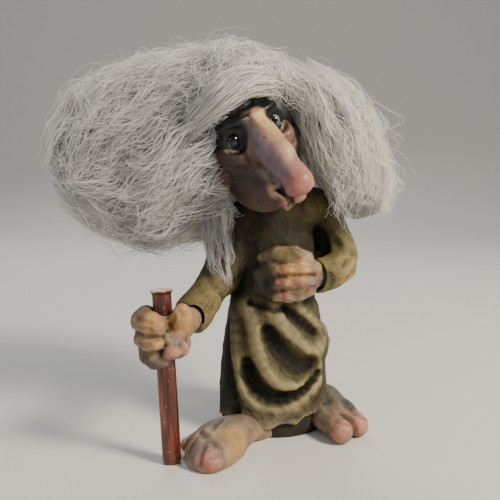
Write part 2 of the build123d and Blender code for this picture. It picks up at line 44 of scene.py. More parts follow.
ROBE_STEP, HEAD_STEP, HAND_STEP, FOOT_STEP, WOOL_STEP = 0.62, 0.5, 0.42, 0.5, 1.5  # mesh widths of the skins
WOOL_LIMIT = 190000               # triangles in one piece of wool
WOOL_GAP = 0.35                   # room between the strands and the skins
STICK_ROOM = 6.5                  # radius of the way that the wool leaves free for the lifted stick
GROWN_POINTS = 36                 # points on each strand as it is grown


def vec(*numbers):
    return np.array(numbers, float)


def unit(v):
    v = np.asarray(v, float)
    return v / np.linalg.norm(v)


# Camera, floor and light
CAMERA_PLACE = vec(-11, -300, 119.6)
CAMERA_PITCH = math.radians(6.26)
LENS, SENSOR = 44.64, 36.0
PICTURE_SIDE = 500
cam_data = bpy.data.cameras.new("photo_camera")
cam_data.sensor_width = SENSOR
cam_data.lens = LENS
cam_data.clip_start, cam_data.clip_end = 0.01, 20.0
camera = bpy.data.objects.new("photo_camera", cam_data)
camera.location = CAMERA_PLACE * MM
camera.rotation_euler = (math.radians(90) - CAMERA_PITCH, 0, 0)
bpy.context.scene.collection.objects.link(camera)
bpy.context.scene.camera = camera


class Nodes:
    """Short spellings for the node graph of one material."""

    def __init__(self, name):
        self.mat = bpy.data.materials.new(name)
        self.mat.use_nodes = True
        self.tree = self.mat.node_tree
        self.tree.nodes.clear()
        out = self.tree.nodes.new("ShaderNodeOutputMaterial")
        self.shader = self.tree.nodes.new("ShaderNodeBsdfPrincipled")
        self.tree.links.new(self.shader.outputs["BSDF"], out.inputs["Surface"])

    def add(self, kind, links=None, **values):
        node = self.tree.nodes.new("ShaderNode" + kind)
        for key, value in values.items():
            setattr(node, key, value)
        for key, value in (links or {}).items():
            self.plug(node.inputs[key], value)
        return node

    def plug(self, socket, value):
        if isinstance(value, bpy.types.NodeSocket):
            self.tree.links.new(value, socket)
        else:
            socket.default_value = value

    def coords(self):
        return self.add("TexCoord").outputs["Object"]

    def attr(self, name, out="Fac"):
        return self.add("Attribute", attribute_name=name).outputs[out]

    def noise(self, where, scale, detail=4.0, rough=0.55):
        return self.add("TexNoise", {"Vector": where, "Scale": scale, "Detail": detail,
                                     "Roughness": rough}).outputs["Fac"]

    def stretch(self, where, scale):
        return self.add("Mapping", {"Vector": where, "Scale": scale}).outputs["Vector"]

    def ramp(self, fac, stops):
        """Colours by web code at their places along the ramp."""
        node = self.add("ValToRGB", {"Fac": fac})
        elements = node.color_ramp.elements
        for i, (at, code) in enumerate(stops):
            stop = elements[i] if i < 2 else elements.new(at)
            stop.position = at
            stop.color = (*rgb(code), 1)
        return node.outputs["Color"]

    def span(self, value, low, high, to_low=0.0, to_high=1.0):
        return self.add("MapRange", {"Value": value, "From Min": low, "From Max": high,
                                     "To Min": to_low, "To Max": to_high}).outputs["Result"]

    def mix(self, fac, a, b, mode="MIX"):
        node = self.add("Mix", data_type="RGBA", blend_type=mode)
        for i, value in ((0, fac), (6, a), (7, b)):
            if not isinstance(value, (float, int, bpy.types.NodeSocket)) and len(value) == 3:
                value = (*value, 1)
            self.plug(node.inputs[i], value)
        return node.outputs[2]

    def math(self, kind, a, b=0.0):
        return self.add("Math", {0: a, 1: b}, operation=kind).outputs[0]

    def bump(self, height, distance, strength=1.0, under=None):
        links = {"Height": height, "Distance": distance, "Strength": strength}
        if under is not None:
            links["Normal"] = under
        return self.add("Bump", links).outputs["Normal"]

    def finish(self, **inputs):
        for key, value in inputs.items():
            self.plug(self.shader.inputs[key.replace("_", " ")], value)
        return self.mat


def rgb(code):
    """Linear colour of a web colour code."""
    parts = [int(code[i:i + 2], 16) / 255 for i in (0, 2, 4)]
    return tuple(c / 12.92 if c <= 0.04045 else ((c + 0.055) / 1.055) ** 2.4 for c in parts)


def new_object(name, verts, faces, mat, body="figure"):
    """Smooth mesh object from vertices in mm and faces, all of one corner count or a list of them."""
    mesh = bpy.data.meshes.new(name)
    if isinstance(faces, np.ndarray):
        count, corners = faces.shape
        mesh.vertices.add(len(verts))
        mesh.vertices.foreach_set("co", (np.asarray(verts) * MM).astype(np.float32).ravel())
        mesh.loops.add(count * corners)
        mesh.loops.foreach_set("vertex_index", faces.astype(np.int32).ravel())
        mesh.polygons.add(count)
        mesh.polygons.foreach_set("loop_start", np.arange(0, count * corners, corners, dtype=np.int32))
        mesh.update(calc_edges=True)
        mesh.validate()
    else:
        mesh.from_pydata([tuple(v * MM) for v in np.asarray(verts)], [], faces)
        mesh.update()
    mesh.polygons.foreach_set("use_smooth", [True] * len(mesh.polygons))
    mesh.materials.append(mat)
    obj = bpy.data.objects.new(name, mesh)
    bpy.context.scene.collection.objects.link(obj)
    if body:
        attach(obj, body)
    return obj


def put(obj, name, values):
    """Stores one number or colour for each vertex."""
    values = np.asarray(values, np.float32)
    if values.ndim == 1:
        obj.data.attributes.new(name, "FLOAT", "POINT").data.foreach_set("value", values)
    elif values.shape[1] == 3:
        colours = np.concatenate([values, np.ones((len(values), 1), np.float32)], 1)
        obj.data.attributes.new(name, "FLOAT_COLOR", "POINT").data.foreach_set("color", colours.ravel())


# Distance fields: each gives the distance in mm from points p to a form, negative inside
def soft_min(a, b, k):
    h = np.maximum(k - np.abs(a - b), 0) / k
    return np.minimum(a, b) - h * h * k / 4


def soft_cut(a, b, k):
    return -soft_min(-a, b, k)


def blob(p, centre, radii, turn=None):
    q = p - np.asarray(centre, float)
    if turn is not None:
        q = q @ np.asarray(turn).T
    radii = np.asarray(radii, float) * np.ones(3)
    k0 = np.sqrt(((q / radii) ** 2).sum(1))
    k1 = np.sqrt(((q / radii ** 2) ** 2).sum(1))
    return k0 * (k0 - 1) / np.maximum(k1, 1e-6)


def rod(p, a, b, ra, rb):
    a, b = np.asarray(a, float), np.asarray(b, float)
    way = b - a
    t = np.clip((p - a) @ way / (way @ way), 0, 1)
    return np.sqrt(((p - a - t[:, None] * way) ** 2).sum(1)) - (ra + t * (rb - ra))


def chain(p, points, radii, k=1.5):
    radii = np.asarray(radii, float) * np.ones(len(points))
    d = rod(p, points[0], points[1], radii[0], radii[1])
    for i in range(1, len(points) - 1):
        d = soft_min(d, rod(p, points[i], points[i + 1], radii[i], radii[i + 1]), k)
    return d


def from_spot(p, place):
    """Distance to one place."""
    return rod(p, place, np.asarray(place) + 0.01, 0, 0)


def near_enough(p, points, reach):
    """Which points lie within reach of the box around a line."""
    points = np.asarray(points)
    return ((p > points.min(0) - reach) & (p < points.max(0) + reach)).all(1)


def join(p, d, points, radii, k, cut=False):
    """Adds a roll to the field, or presses a hollow into it, only where it reaches."""
    radii = np.asarray(radii, float) * np.ones(len(points))
    mask = near_enough(p, points, radii.max() + k + 3)
    if mask.any():
        part = chain(p[mask], points, radii, 1.0)
        d[mask] = soft_cut(d[mask], part, k) if cut else soft_min(d[mask], part, k)


def fuse(p, d, centre, radii, k, cut=False):
    """Adds an egg to the field, or presses it in, only where it reaches."""
    radii = np.asarray(radii, float) * np.ones(3)
    mask = near_enough(p, [centre], radii.max() + k + 3)
    if mask.any():
        part = blob(p[mask], centre, radii)
        d[mask] = soft_cut(d[mask], part, k) if cut else soft_min(d[mask], part, k)


FINE = (0.62, 1.6)                # radius and softness of the finest crease that the meshes can hold
CREASE_STEPS = 5                  # points on each crease for every point given, and rounds that settle them
CREASE_RISE = 0.45                # how far the middle of a crease lies outside the skin, of its radius


def creases(field, lines):
    """Lines given as (points, radius, softness), laid on a field's skin, thinner at their ends."""
    laid = []
    for points, radius, k in lines:
        path = smooth_path(points, CREASE_STEPS * len(points))
        for _ in range(CREASE_STEPS):
            way, size = slope(field, path, 0.2)
            path = path - ((field(path) - CREASE_RISE * radius) / size)[:, None] * way * 0.8
        laid.append((path, radius * np.sin(np.linspace(0.25, 2.9, len(path))) ** 0.5, k))
    return laid


def press(p, d, laid):
    """Presses creases into the field."""
    for path, radii, k in laid:
        join(p, d, path, radii, k, cut=True)
    return d


def smooth_path(points, count):
    """Points along a smooth line through the given ones."""
    points = np.asarray(points, float)
    n = len(points)
    t = np.linspace(0, n - 1, count)
    i = np.clip(t.astype(int), 0, n - 2)
    f = (t - i)[:, None]
    p0, p1 = points[np.maximum(i - 1, 0)], points[i]
    p2, p3 = points[i + 1], points[np.minimum(i + 2, n - 1)]
    return 0.5 * (2 * p1 + (p2 - p0) * f + (2 * p0 - 5 * p1 + 4 * p2 - p3) * f ** 2
                  + (3 * p1 - p0 - 3 * p2 + p3) * f ** 3)


def step01(x, low, high):
    t = np.clip((x - low) / (high - low), 0, 1)
    return t * t * (3 - 2 * t)


CUBE = [(dx, dy, dz) for dx in (0, 1) for dy in (0, 1) for dz in (0, 1)]  # corners of a unit cube


def noise3(p, seed=0):
    """Smooth noise from -1 to 1, one wave per unit."""
    cell = np.floor(p).astype(np.int64)
    f = p - cell
    f = f * f * f * (f * (f * 6 - 15) + 10)
    total = 0
    for dx, dy, dz in CUBE:
        n = ((cell[:, 0] + dx) * 73856093) ^ ((cell[:, 1] + dy) * 19349663) \
            ^ ((cell[:, 2] + dz) * 83492791) ^ (seed * 2654435761)
        n = (n ^ (n >> 13)) * 1274126177 & 0x7FFFFFFF
        n = (n ^ (n >> 16)) & 0xFFFF
        weight = (f[:, 0] if dx else 1 - f[:, 0]) * (f[:, 1] if dy else 1 - f[:, 1]) \
            * (f[:, 2] if dz else 1 - f[:, 2])
        total = total + weight * (n / 32767.5 - 1)
    return total


def fractal(p, size, seed=0, octaves=3):
    """Noise whose largest waves are size mm long."""
    total, weight = 0, 0
    for i in range(octaves):
        total = total + noise3(p / size * 2 ** i, seed + i) * 0.5 ** i
        weight += 0.5 ** i
    return total / weight


def net(field, low, high, step, block=6):
    """Closed quad mesh of the surface where the field is zero."""
    low = np.asarray(low, float)
    blocks = np.ceil((np.asarray(high, float) - low) / (step * block)).astype(int)
    wide = step * block
    axes = [low[i] + wide * np.arange(blocks[i] + 1) for i in range(3)]
    corners = np.stack(np.meshgrid(*axes, indexing="ij"), -1).reshape(-1, 3)
    coarse = field(corners).reshape(blocks + 1)
    near = np.zeros(blocks, bool)
    for dx, dy, dz in CUBE:
        part = coarse[dx:blocks[0] + dx, dy:blocks[1] + dy, dz:blocks[2] + dz]
        near |= np.abs(part) < wide * 1.25
    fine = blocks * block + 1
    values = np.repeat(np.repeat(np.repeat(coarse, block, 0), block, 1), block, 2)
    start = block // 2
    values = values[start:start + fine[0], start:start + fine[1], start:start + fine[2]]
    values = np.where(values < 0, -wide, wide)
    mask = np.zeros(fine, bool)
    spread = np.repeat(np.repeat(np.repeat(near, block, 0), block, 1), block, 2)
    for dx, dy, dz in CUBE:
        mask[dx:fine[0] - 1 + dx, dy:fine[1] - 1 + dy, dz:fine[2] - 1 + dz] |= spread
    where = np.argwhere(mask)
    values[mask] = field(low + where * step)
    inside = values < 0
    count = np.zeros(fine - 1, np.int8)
    for dx, dy, dz in CUBE:
        count += inside[dx:fine[0] - 1 + dx, dy:fine[1] - 1 + dy, dz:fine[2] - 1 + dz]
    active = (count > 0) & (count < 8)
    cells = np.argwhere(active)
    index = np.full(active.shape, -1)
    index[active] = np.arange(len(cells))
    total, hits = np.zeros((len(cells), 3)), np.zeros(len(cells))
    for a in CUBE:
        for axis in range(3):
            if a[axis]:
                continue
            b = list(a)
            b[axis] = 1
            va = values[cells[:, 0] + a[0], cells[:, 1] + a[1], cells[:, 2] + a[2]]
            vb = values[cells[:, 0] + b[0], cells[:, 1] + b[1], cells[:, 2] + b[2]]
            cross = (va < 0) != (vb < 0)
            t = np.where(cross, va / np.where(cross, va - vb, 1), 0)
            at = np.array(a, float) + t[:, None] * (np.array(b) - np.array(a))
            total += np.where(cross[:, None], at, 0)
            hits += cross
    verts = low + step * (cells + total / hits[:, None])
    quads = []
    for axis in range(3):
        j, k = (axis + 1) % 3, (axis + 2) % 3
        first = [slice(None)] * 3
        second = [slice(None)] * 3
        first[axis], second[axis] = slice(0, -1), slice(1, None)
        change = inside[tuple(first)] != inside[tuple(second)]
        at = np.argwhere(change)
        at = at[(at[:, j] > 0) & (at[:, k] > 0) & (at[:, j] < fine[j] - 1) & (at[:, k] < fine[k] - 1)]
        out = inside[tuple(first)][tuple(at.T)]
        ring = []
        for dj, dk in ((-1, -1), (0, -1), (0, 0), (-1, 0)):
            c = at.copy()
            c[:, j] += dj
            c[:, k] += dk
            ring.append(index[tuple(c.T)])
        ring = np.stack(ring, 1)
        quads.append(np.where(out[:, None], ring, ring[:, ::-1]))
    return verts, np.concatenate(quads)


def edges_of(quads):
    pairs = np.concatenate([quads[:, [i, (i + 1) % quads.shape[1]]] for i in range(quads.shape[1])])
    return np.unique(np.sort(pairs, 1), axis=0)


def drawn_out(values, count):
    """The given values drawn out evenly to so many."""
    return np.interp(np.linspace(0, len(values) - 1, count), range(len(values)), values)


def spread_mean(values, pairs, count):
    """Mean over each vertex's neighbours."""
    total = np.zeros((count,) + values.shape[1:])
    if values.ndim == 1:
        for a, b in ((0, 1), (1, 0)):
            total += np.bincount(pairs[:, a], values[pairs[:, b]], count)
    else:
        for c in range(values.shape[1]):
            for a, b in ((0, 1), (1, 0)):
                total[:, c] += np.bincount(pairs[:, a], values[pairs[:, b], c], count)
    near = np.bincount(pairs.ravel(), minlength=count)
    return total / (near[:, None] if values.ndim > 1 else near)


def slope(field, verts, reach=0.12):
    grad = np.stack([field(verts + reach * e) - field(verts - reach * e) for e in np.eye(3)], 1) / (2 * reach)
    size = np.maximum(np.linalg.norm(grad, axis=1), 1e-6)
    return grad / size[:, None], size


def keep_largest(verts, quads):
    """Leaves out every part of the mesh but the one with the most vertices."""
    pairs = edges_of(quads)
    label = np.arange(len(verts))
    while True:
        low = np.minimum(label[pairs[:, 0]], label[pairs[:, 1]])
        fresh = label.copy()
        np.minimum.at(fresh, pairs[:, 0], low)
        np.minimum.at(fresh, pairs[:, 1], low)
        fresh = fresh[fresh]
        if (fresh == label).all():
            break
        label = fresh
    main = np.bincount(label).argmax()
    keep = label == main
    renumber = np.cumsum(keep) - 1
    quads = quads[keep[quads].all(1)]
    return verts[keep], renumber[quads]


def sculpt(field, low, high, step, relax=2):
    """Evened mesh of a field, with its normals and its edges."""
    verts, quads = keep_largest(*net(field, low, high, step))
    pairs = edges_of(quads)
    for _ in range(relax):
        verts = 0.4 * verts + 0.6 * spread_mean(verts, pairs, len(verts))
        normals, size = slope(field, verts)
        verts = verts - (field(verts) / size)[:, None] * normals * 0.9
    normals, _ = slope(field, verts, 0.3)
    return verts, quads, normals, pairs


def hollowness(verts, normals, pairs, rounds):
    """How far the surface dips, from -1 on sharp ridges to 1 in sharp hollows."""
    mean = verts
    for _ in range(rounds):
        mean = spread_mean(mean, pairs, len(verts))
    return ((mean - verts) * normals).sum(1)


def hollows(made, rounds, shares):
    """Small and large hollows of a skin, and the mix of both that its paint follows."""
    verts, _, normals, pairs = made
    small, large = (hollowness(verts, normals, pairs, count) for count in rounds)
    return small, large, np.clip(small * shares[0] + large * shares[1], -1, 1)


class Coat:
    """The paint of a skin, one colour for each vertex, laid on in layers by web colour code."""

    def __init__(self, count, code):
        self.paint = np.tile(vec(*rgb(code)), (count, 1))

    def lay(self, code, share):
        self.paint = self.paint + (np.asarray(rgb(code)) - self.paint) * np.clip(share, 0, 1)[:, None]


# Painted skin: colours from the maker's hand, darker in the hollows from washes and painted shade, paler on the
# ridges from dry-brushing and painted highlight
def skin_material(name, rough=0.62, fibre=0.35, ridge_brush_and_highlight=0.5, coat=0.0, fibre_scale=900, tooth=0.12):
    n = Nodes(name)
    where = n.coords()
    grain = n.attr("grain", "Vector")
    paint = n.attr("paint", "Color")
    dip = n.attr("dip")
    broad = n.noise(where, 90, 3)
    fine = n.noise(where, 650, 5, 0.65)
    streak = n.noise(grain, fibre_scale, 4, 0.7)
    hair_line = n.noise(grain, fibre_scale * 2.3, 3, 0.6)
    colour = n.mix(n.span(broad, 0.35, 0.7), paint, n.mix(0.6, paint, rgb("4A4030"), "MULTIPLY"))
    colour = n.mix(n.math("MULTIPLY", n.span(streak, 0.48, 0.74), fibre), colour,
                   n.mix(1.0, paint, (1.55, 1.45, 1.25), "MULTIPLY"))
    colour = n.mix(n.math("MULTIPLY", n.span(hair_line, 0.54, 0.34), fibre), colour,
                   n.mix(1.0, colour, rgb("6A5C48"), "MULTIPLY"))
    # Washes and painted shade darken the hollows
    hollow_wash_and_shade = n.math("ADD", dip, n.span(fine, 0.3, 0.7, -0.20, 0.20))
    colour = n.mix(n.math("MULTIPLY", n.span(hollow_wash_and_shade, 0.10, 0.9), 0.85), colour,
                   n.mix(1.0, colour, rgb("4A3C32"), "MULTIPLY"))
    # Dry-brushing and painted highlight pale the ridges
    colour = n.mix(n.math("MULTIPLY", n.span(hollow_wash_and_shade, -0.15, -1.0), ridge_brush_and_highlight), colour,
                   n.mix(1.0, paint, (1.55, 1.48, 1.36), "MULTIPLY"))
    shine = n.span(n.math("ADD", fine, n.math("MULTIPLY", dip, 0.4)), 0.2, 1.0, rough - 0.1, rough + 0.2)
    normal = n.bump(streak, tooth * MM, fibre)
    normal = n.bump(fine, tooth * MM, 0.6, normal)
    n.plug(n.shader.inputs["Specular IOR Level"], 0.35)
    if coat:
        n.plug(n.shader.inputs["Coat Weight"], coat)
        n.plug(n.shader.inputs["Coat Roughness"], 0.25)
    return n.finish(Base_Color=colour, Roughness=shine, Normal=normal)


def deepen(paint):
    """Mixes a paint darker and richer, because the picture's tone curve pales and greys it."""
    grey = paint.mean(1, keepdims=True)
    return np.clip((grey + (paint - grey) * 1.04) * 0.86, 0, 1) ** 1.06


def dress(name, made, mat, coat, dip, grain=None):
    """The object of a skin, with its paint, hollows and grain on the vertices."""
    verts, quads = made[:2]
    obj = new_object(name, verts, quads, mat)
    put(obj, "paint", deepen(coat.paint))
    put(obj, "dip", dip)
    put(obj, "grain", (verts if grain is None else grain) * MM)
    return obj


def brushed(verts, ways):
    """Texture place of each vertex, drawn out along the way the brush or the cloth runs."""
    along = (verts * ways).sum(1)
    return verts - 0.85 * along[:, None] * ways


def brushed_along(verts, points):
    """Texture place of each vertex near a limb, drawn out along it."""
    best, place = np.full(len(verts), 1e9), verts.copy()
    gone = 0
    for a, b in zip(points, points[1:]):
        way = b - a
        size = np.linalg.norm(way)
        t = np.clip((verts - a) @ way / size ** 2, 0, 1)
        off = verts - a - t[:, None] * way
        far = np.linalg.norm(off, axis=1)
        close = far < best
        best = np.where(close, far, best)
        place[close] = off[close] + ((gone + t[close] * size) * 0.15)[:, None] * unit((1, 1, 1))
        gone += size
    return place


def toothed(made, amount, size, seed, grain=None, octaves=3):
    """Pushes the vertices in and out a little, so that the skin's tooth is in the mesh as well."""
    verts, quads, normals, pairs = made
    push = fractal((verts if grain is None else grain), size, seed, octaves) * amount
    return verts + push[:, None] * normals, quads, normals, pairs


# Robe, with both sleeves in one skin
ROBE_HEIGHT, ROBE_HALF_WIDTH, ROBE_HALF_DEPTH, ROBE_WALL = 113.0, 27.0, 23.5, 3.6
ROBE_SHARES = np.array([
    # height, half width, half depth, shift to the viewer's right
    (0.00, 1.00, 1.00, 0.010), (0.12, 0.99, 0.98, 0.014), (0.25, 0.94, 0.96, 0.020),
    (0.37, 0.90, 0.93, 0.024), (0.48, 0.81, 0.85, 0.008), (0.58, 0.76, 0.78, 0.000),
    (0.70, 0.70, 0.72, 0.022), (0.82, 0.68, 0.68, 0.032), (0.91, 0.60, 0.58, 0.022),
    (1.00, 0.37, 0.40, -0.020)])
HEIGHTS = np.linspace(-10, ROBE_HEIGHT + 12, 600)
EVENING = 45                      # heights over which the shares are evened out
kernel = np.hanning(EVENING) / np.hanning(EVENING).sum()
ROBE_TABLE = []
for column, scale in ((1, ROBE_HALF_WIDTH), (2, ROBE_HALF_DEPTH), (3, 2 * ROBE_HALF_WIDTH)):
    row = np.interp(HEIGHTS / ROBE_HEIGHT, ROBE_SHARES[:, 0], ROBE_SHARES[:, column]) * scale
    ROBE_TABLE.append(np.convolve(np.pad(row, EVENING // 2, mode="edge"), kernel, "valid"))


def robe_section(z):
    """Half width, half depth and shift of the robe at given heights."""
    return [np.interp(z, HEIGHTS, row) for row in ROBE_TABLE]


def robe_plain(p):
    """Body of the robe without its folds."""
    wide, deep, shift = robe_section(p[:, 2])
    x, y = p[:, 0] - shift, p[:, 1]
    k0 = np.sqrt((x / wide) ** 2 + (y / deep) ** 2)
    k1 = np.sqrt((x / wide ** 2) ** 2 + (y / deep ** 2) ** 2)
    side = k0 * (k0 - 1) / np.maximum(k1, 1e-4)
    return soft_cut(side, -(p[:, 2] - ROBE_HEIGHT), 5)


def on_front(points, out):
    """The places on the robe's front whose height and side are given, moved out by so much."""
    points = np.asarray(points, float)
    x, z = points[:, 0], points[:, 1]
    wide, deep, shift = robe_section(z)
    across = np.clip((x - shift) / wide, -0.985, 0.985)
    y = -deep * np.sqrt(1 - across ** 2)
    out_way = np.stack([across / wide, -np.sqrt(1 - across ** 2) / deep, 0 * z], 1)
    out_way /= np.linalg.norm(out_way, axis=1)[:, None]
    return np.stack([shift + across * wide, y, z], 1) + out_way * (np.asarray(out) * np.ones(len(z)))[:, None]


# Rolls and hollows of the skirt as (side, height) along each, its radius and how far it stands out
FOLD_ROLLS = (
    (((-13.5, 63), (-9.5, 55), (-8.0, 46), (-5.5, 38), (-2.0, 30.5), (4, 25.8), (12, 27), (20, 33)),
     3.9, 2.2),
    (((0.5, 60.5), (4.7, 52), (10.5, 45.5), (17.5, 40.5), (23, 43.5)), 4.2, 2.4),
    (((-18, 62), (-17.6, 50), (-17.2, 40), (-15.2, 31), (-12.2, 22), (-8.5, 14)), 3.4, 1.7),
    (((-12.5, 26), (-5.5, 17.8), (3.5, 15.2), (12, 18), (20.5, 26)), 3.6, 1.7),
    (((8, 66), (14, 58), (21, 51)), 3.2, 1.3),
    (((-16.5, 12), (-12.5, 8.5), (-6.5, 7.4), (-1.5, 8.2)), 3.4, 1.5),
)
FOLD_HOLLOWS = (
    (((-2.6, 51.0), (1.5, 44.5), (6.5, 38.5), (11.5, 34.5), (17.0, 33.5)), (2.6, 5.0, 6.8, 7.0, 4.8), 2.7),
    (((-12.4, 36), (-10.8, 30.5), (-7.0, 24.6), (0, 20.8), (8, 21.0), (15, 24.4), (21, 29.5)),
     (2.0, 4.2, 4.6, 3.6, 2.0, 1.2, 0.8), 2.3),
    (((4.5, 62.0), (8, 58.5), (13, 54.5), (18.5, 49.5)), (0.8, 1.6, 1.5, 0.9), 1.0),
    (((-21.5, 50), (-21.6, 34), (-19.5, 20), (-16.5, 10)), (2.4, 3.4, 3.4, 2.4), 1.5),
)
# The same on the back and the sides, guessed: soft upright folds, each as its turn round the body in
# degrees, the heights it runs between, its radius and how far it stands out or goes in
BACK_FOLDS = ((18, 8, 58, 3.6, 1.5), (47, 8, 60, 3.8, 1.7), (92, 8, 60, 3.8, 1.7), (133, 8, 58, 3.8, 1.6),
              (162, 10, 56, 3.6, 1.3))
BACK_HOLLOWS = ((32, 4, 52, 3.0, 1.3), (70, 4, 58, 3.4, 1.6), (112, 4, 54, 3.2, 1.5), (148, 5, 52, 3.0, 1.3))
LEFT_ARM = ((13.5, 0, 107), (20, 0, 108.5), (26.5, -0.5, 104), (31, -2, 96.5), (34.0, -4, 87.5),
            (32.6, -7, 80.6), (27, -12.5, 77.8), (21, -17, 76.6), (18.2, -19, 76.6))
LEFT_ARM_RADII = (9.5, 8.0, 6.0, 4.8, 5.6, 7.2, 7.4, 7.2, 7.2)
RIGHT_ARM = ((-10, 0, 103), (-15.9, 0, 98.5), (-21.0, -4, 87), (-25.6, -10, 76.4), (-31.0, -19, 67.6),
             (-36.6, -29.5, 61.0))
RIGHT_ARM_RADII = (9.0, 9.2, 8.6, 7.9, 7.6, 8.7)


def back_line(turn, low, high, out):
    """Upright line on the robe, its turn measured from the viewer's right round the back."""
    z = np.linspace(low, high, 6)
    wide, deep, shift = robe_section(z)
    a = math.radians(turn) + 0.10 * np.sin(z / 11 + turn)
    return np.stack([shift + (wide + out) * np.cos(a), (deep + out) * np.sin(a), z], 1)


HEM_SIDE = (-27, -22.6, -18.3, -15.2, -11.7, -9.1, -4.5, 0, 2.6, 6.6, 10.6, 14.6, 17.7, 21, 26)
HEM_RISE = (5.8, 7.1, 7.1, 4.9, 3.3, 3.4, 4.7, 6.1, 7.7, 8.0, 7.1, 10.1, 10.4, 10.0, 8.0)


def hem_height(x, y):
    """Height of the hem: low at the back, in a lobe over the right foot, lifted over the left one."""
    front = np.interp(x, HEM_SIDE, HEM_RISE)
    return 1.8 + 0.4 * np.sin(y * 0.4) + (front - 1.8) * step01(-y, -8, 6)


def robe_body(p):
    d = robe_plain(p)
    for points, radius, out in FOLD_ROLLS:
        path = smooth_path(points, 2 * len(points))
        join(p, d, on_front(path, out - radius), radius, 4.2)
    for points, radii, depth in FOLD_HOLLOWS:
        path = smooth_path(points, 2 * len(points))
        wide = drawn_out(radii, len(path))
        join(p, d, on_front(path, wide - np.minimum(depth, wide * 0.85)), wide, 3.4, cut=True)
    for turn, low, high, radius, out in BACK_FOLDS:
        join(p, d, back_line(turn, low, high, out - radius), radius, 4)
    for turn, low, high, radius, depth in BACK_HOLLOWS:
        join(p, d, back_line(turn, low, high, radius - depth), radius, 3, cut=True)
    join(p, d, ((23.5, -3, 48), (25.5, 0, 42), (24.6, 3, 36)), 3.0, 4)
    # Creases under the chest and where the hand presses the belly
    for points in (((-6, -17.5, 92), (6, -19.5, 88.5), (15, -17.5, 90)),
                   ((-11, -17, 64), (0, -21.6, 61.5), (12, -20, 64))):
        join(p, d, points, 0.9, 2.4, cut=True)
    # Cloth between each arm and the body
    join(p, d, ((20.5, 4, 103), (23, 4.5, 95), (25, 4.5, 87), (23, 1, 80)), (3.2, 4.2, 4.6, 4.0), 3)
    join(p, d, ((1, -4, 106), (14, -3, 106.5)), (9.0, 8.6), 5)
    join(p, d, ((-13, -1, 92), (-17, -4, 82), (-20.5, -8, 73.5)), (8.5, 7.0, 4.6), 5)
    return d


def robe_arms(p):
    """The two sleeves, the figure's left one first."""
    return [chain(p, smooth_path(points, count), drawn_out(radii, count), 2)
            for points, radii, count in ((LEFT_ARM, LEFT_ARM_RADII, 17), (RIGHT_ARM, RIGHT_ARM_RADII, 13))]


LEFT_CUFF, LEFT_CUFF_WAY = vec(19.6, -19.0, 76.8), unit((-0.88, -0.47, 0.05))
RIGHT_CUFF, RIGHT_CUFF_WAY = vec(-38.0, -32.4, 60.4), unit((-0.62, -0.68, -0.38))
CUFFS = ((LEFT_CUFF, LEFT_CUFF_WAY), (RIGHT_CUFF, RIGHT_CUFF_WAY))
# Puckers of the cloth, as (points, radius, softness), on the left sleeve and then on the right one
SLEEVE_PUCKERS = ((
    (((37, -11, 86), (34, -14.5, 83), (31.5, -16.5, 80.5)), 0.8, 3.2),
    (((40.5, -7, 81), (37.5, -12.5, 78), (34.5, -14.5, 74)), 0.8, 3.2),
    (((28, -9, 92), (32.5, -11, 88.5), (38, -9, 86)), 0.9, 3.4)), (
    (((-31, -18, 77), (-28.0, -22.5, 72), (-24.5, -18, 66)), 0.8, 3.2),
    (((-26, -11, 86), (-21.5, -17, 80), (-19, -13, 73)), 0.9, 3.4)))
SLEEVE_PUCKERS = [creases(lambda p: robe_arms(p)[arm], lines) for arm, lines in enumerate(SLEEVE_PUCKERS)]


def cuff_bore(p, middle, way):
    """Distance to the hole in a cuff, round the wrist."""
    return rod(p, middle - 3.5 * way, middle + 6 * way, 5.9, 6.3)


def robe_field(p):
    d = robe_body(p)
    for arm, (middle, way), puckers, k in zip(robe_arms(p), CUFFS, SLEEVE_PUCKERS, (4.0, 5.0)):
        # Cuffs end flat, a deep gap round each wrist
        arm = soft_cut(arm, -((p - middle) @ way), 1.6)
        arm = soft_cut(arm, cuff_bore(p, middle, way), 1.0)
        d = soft_min(d, press(p, arm, puckers), k)
    x, y, z = p.T
    d = soft_cut(d, z - hem_height(x, y), 1.5)
    inner = np.maximum(robe_plain(p) + ROBE_WALL, z - 15)
    return soft_cut(d, inner, 0.8)


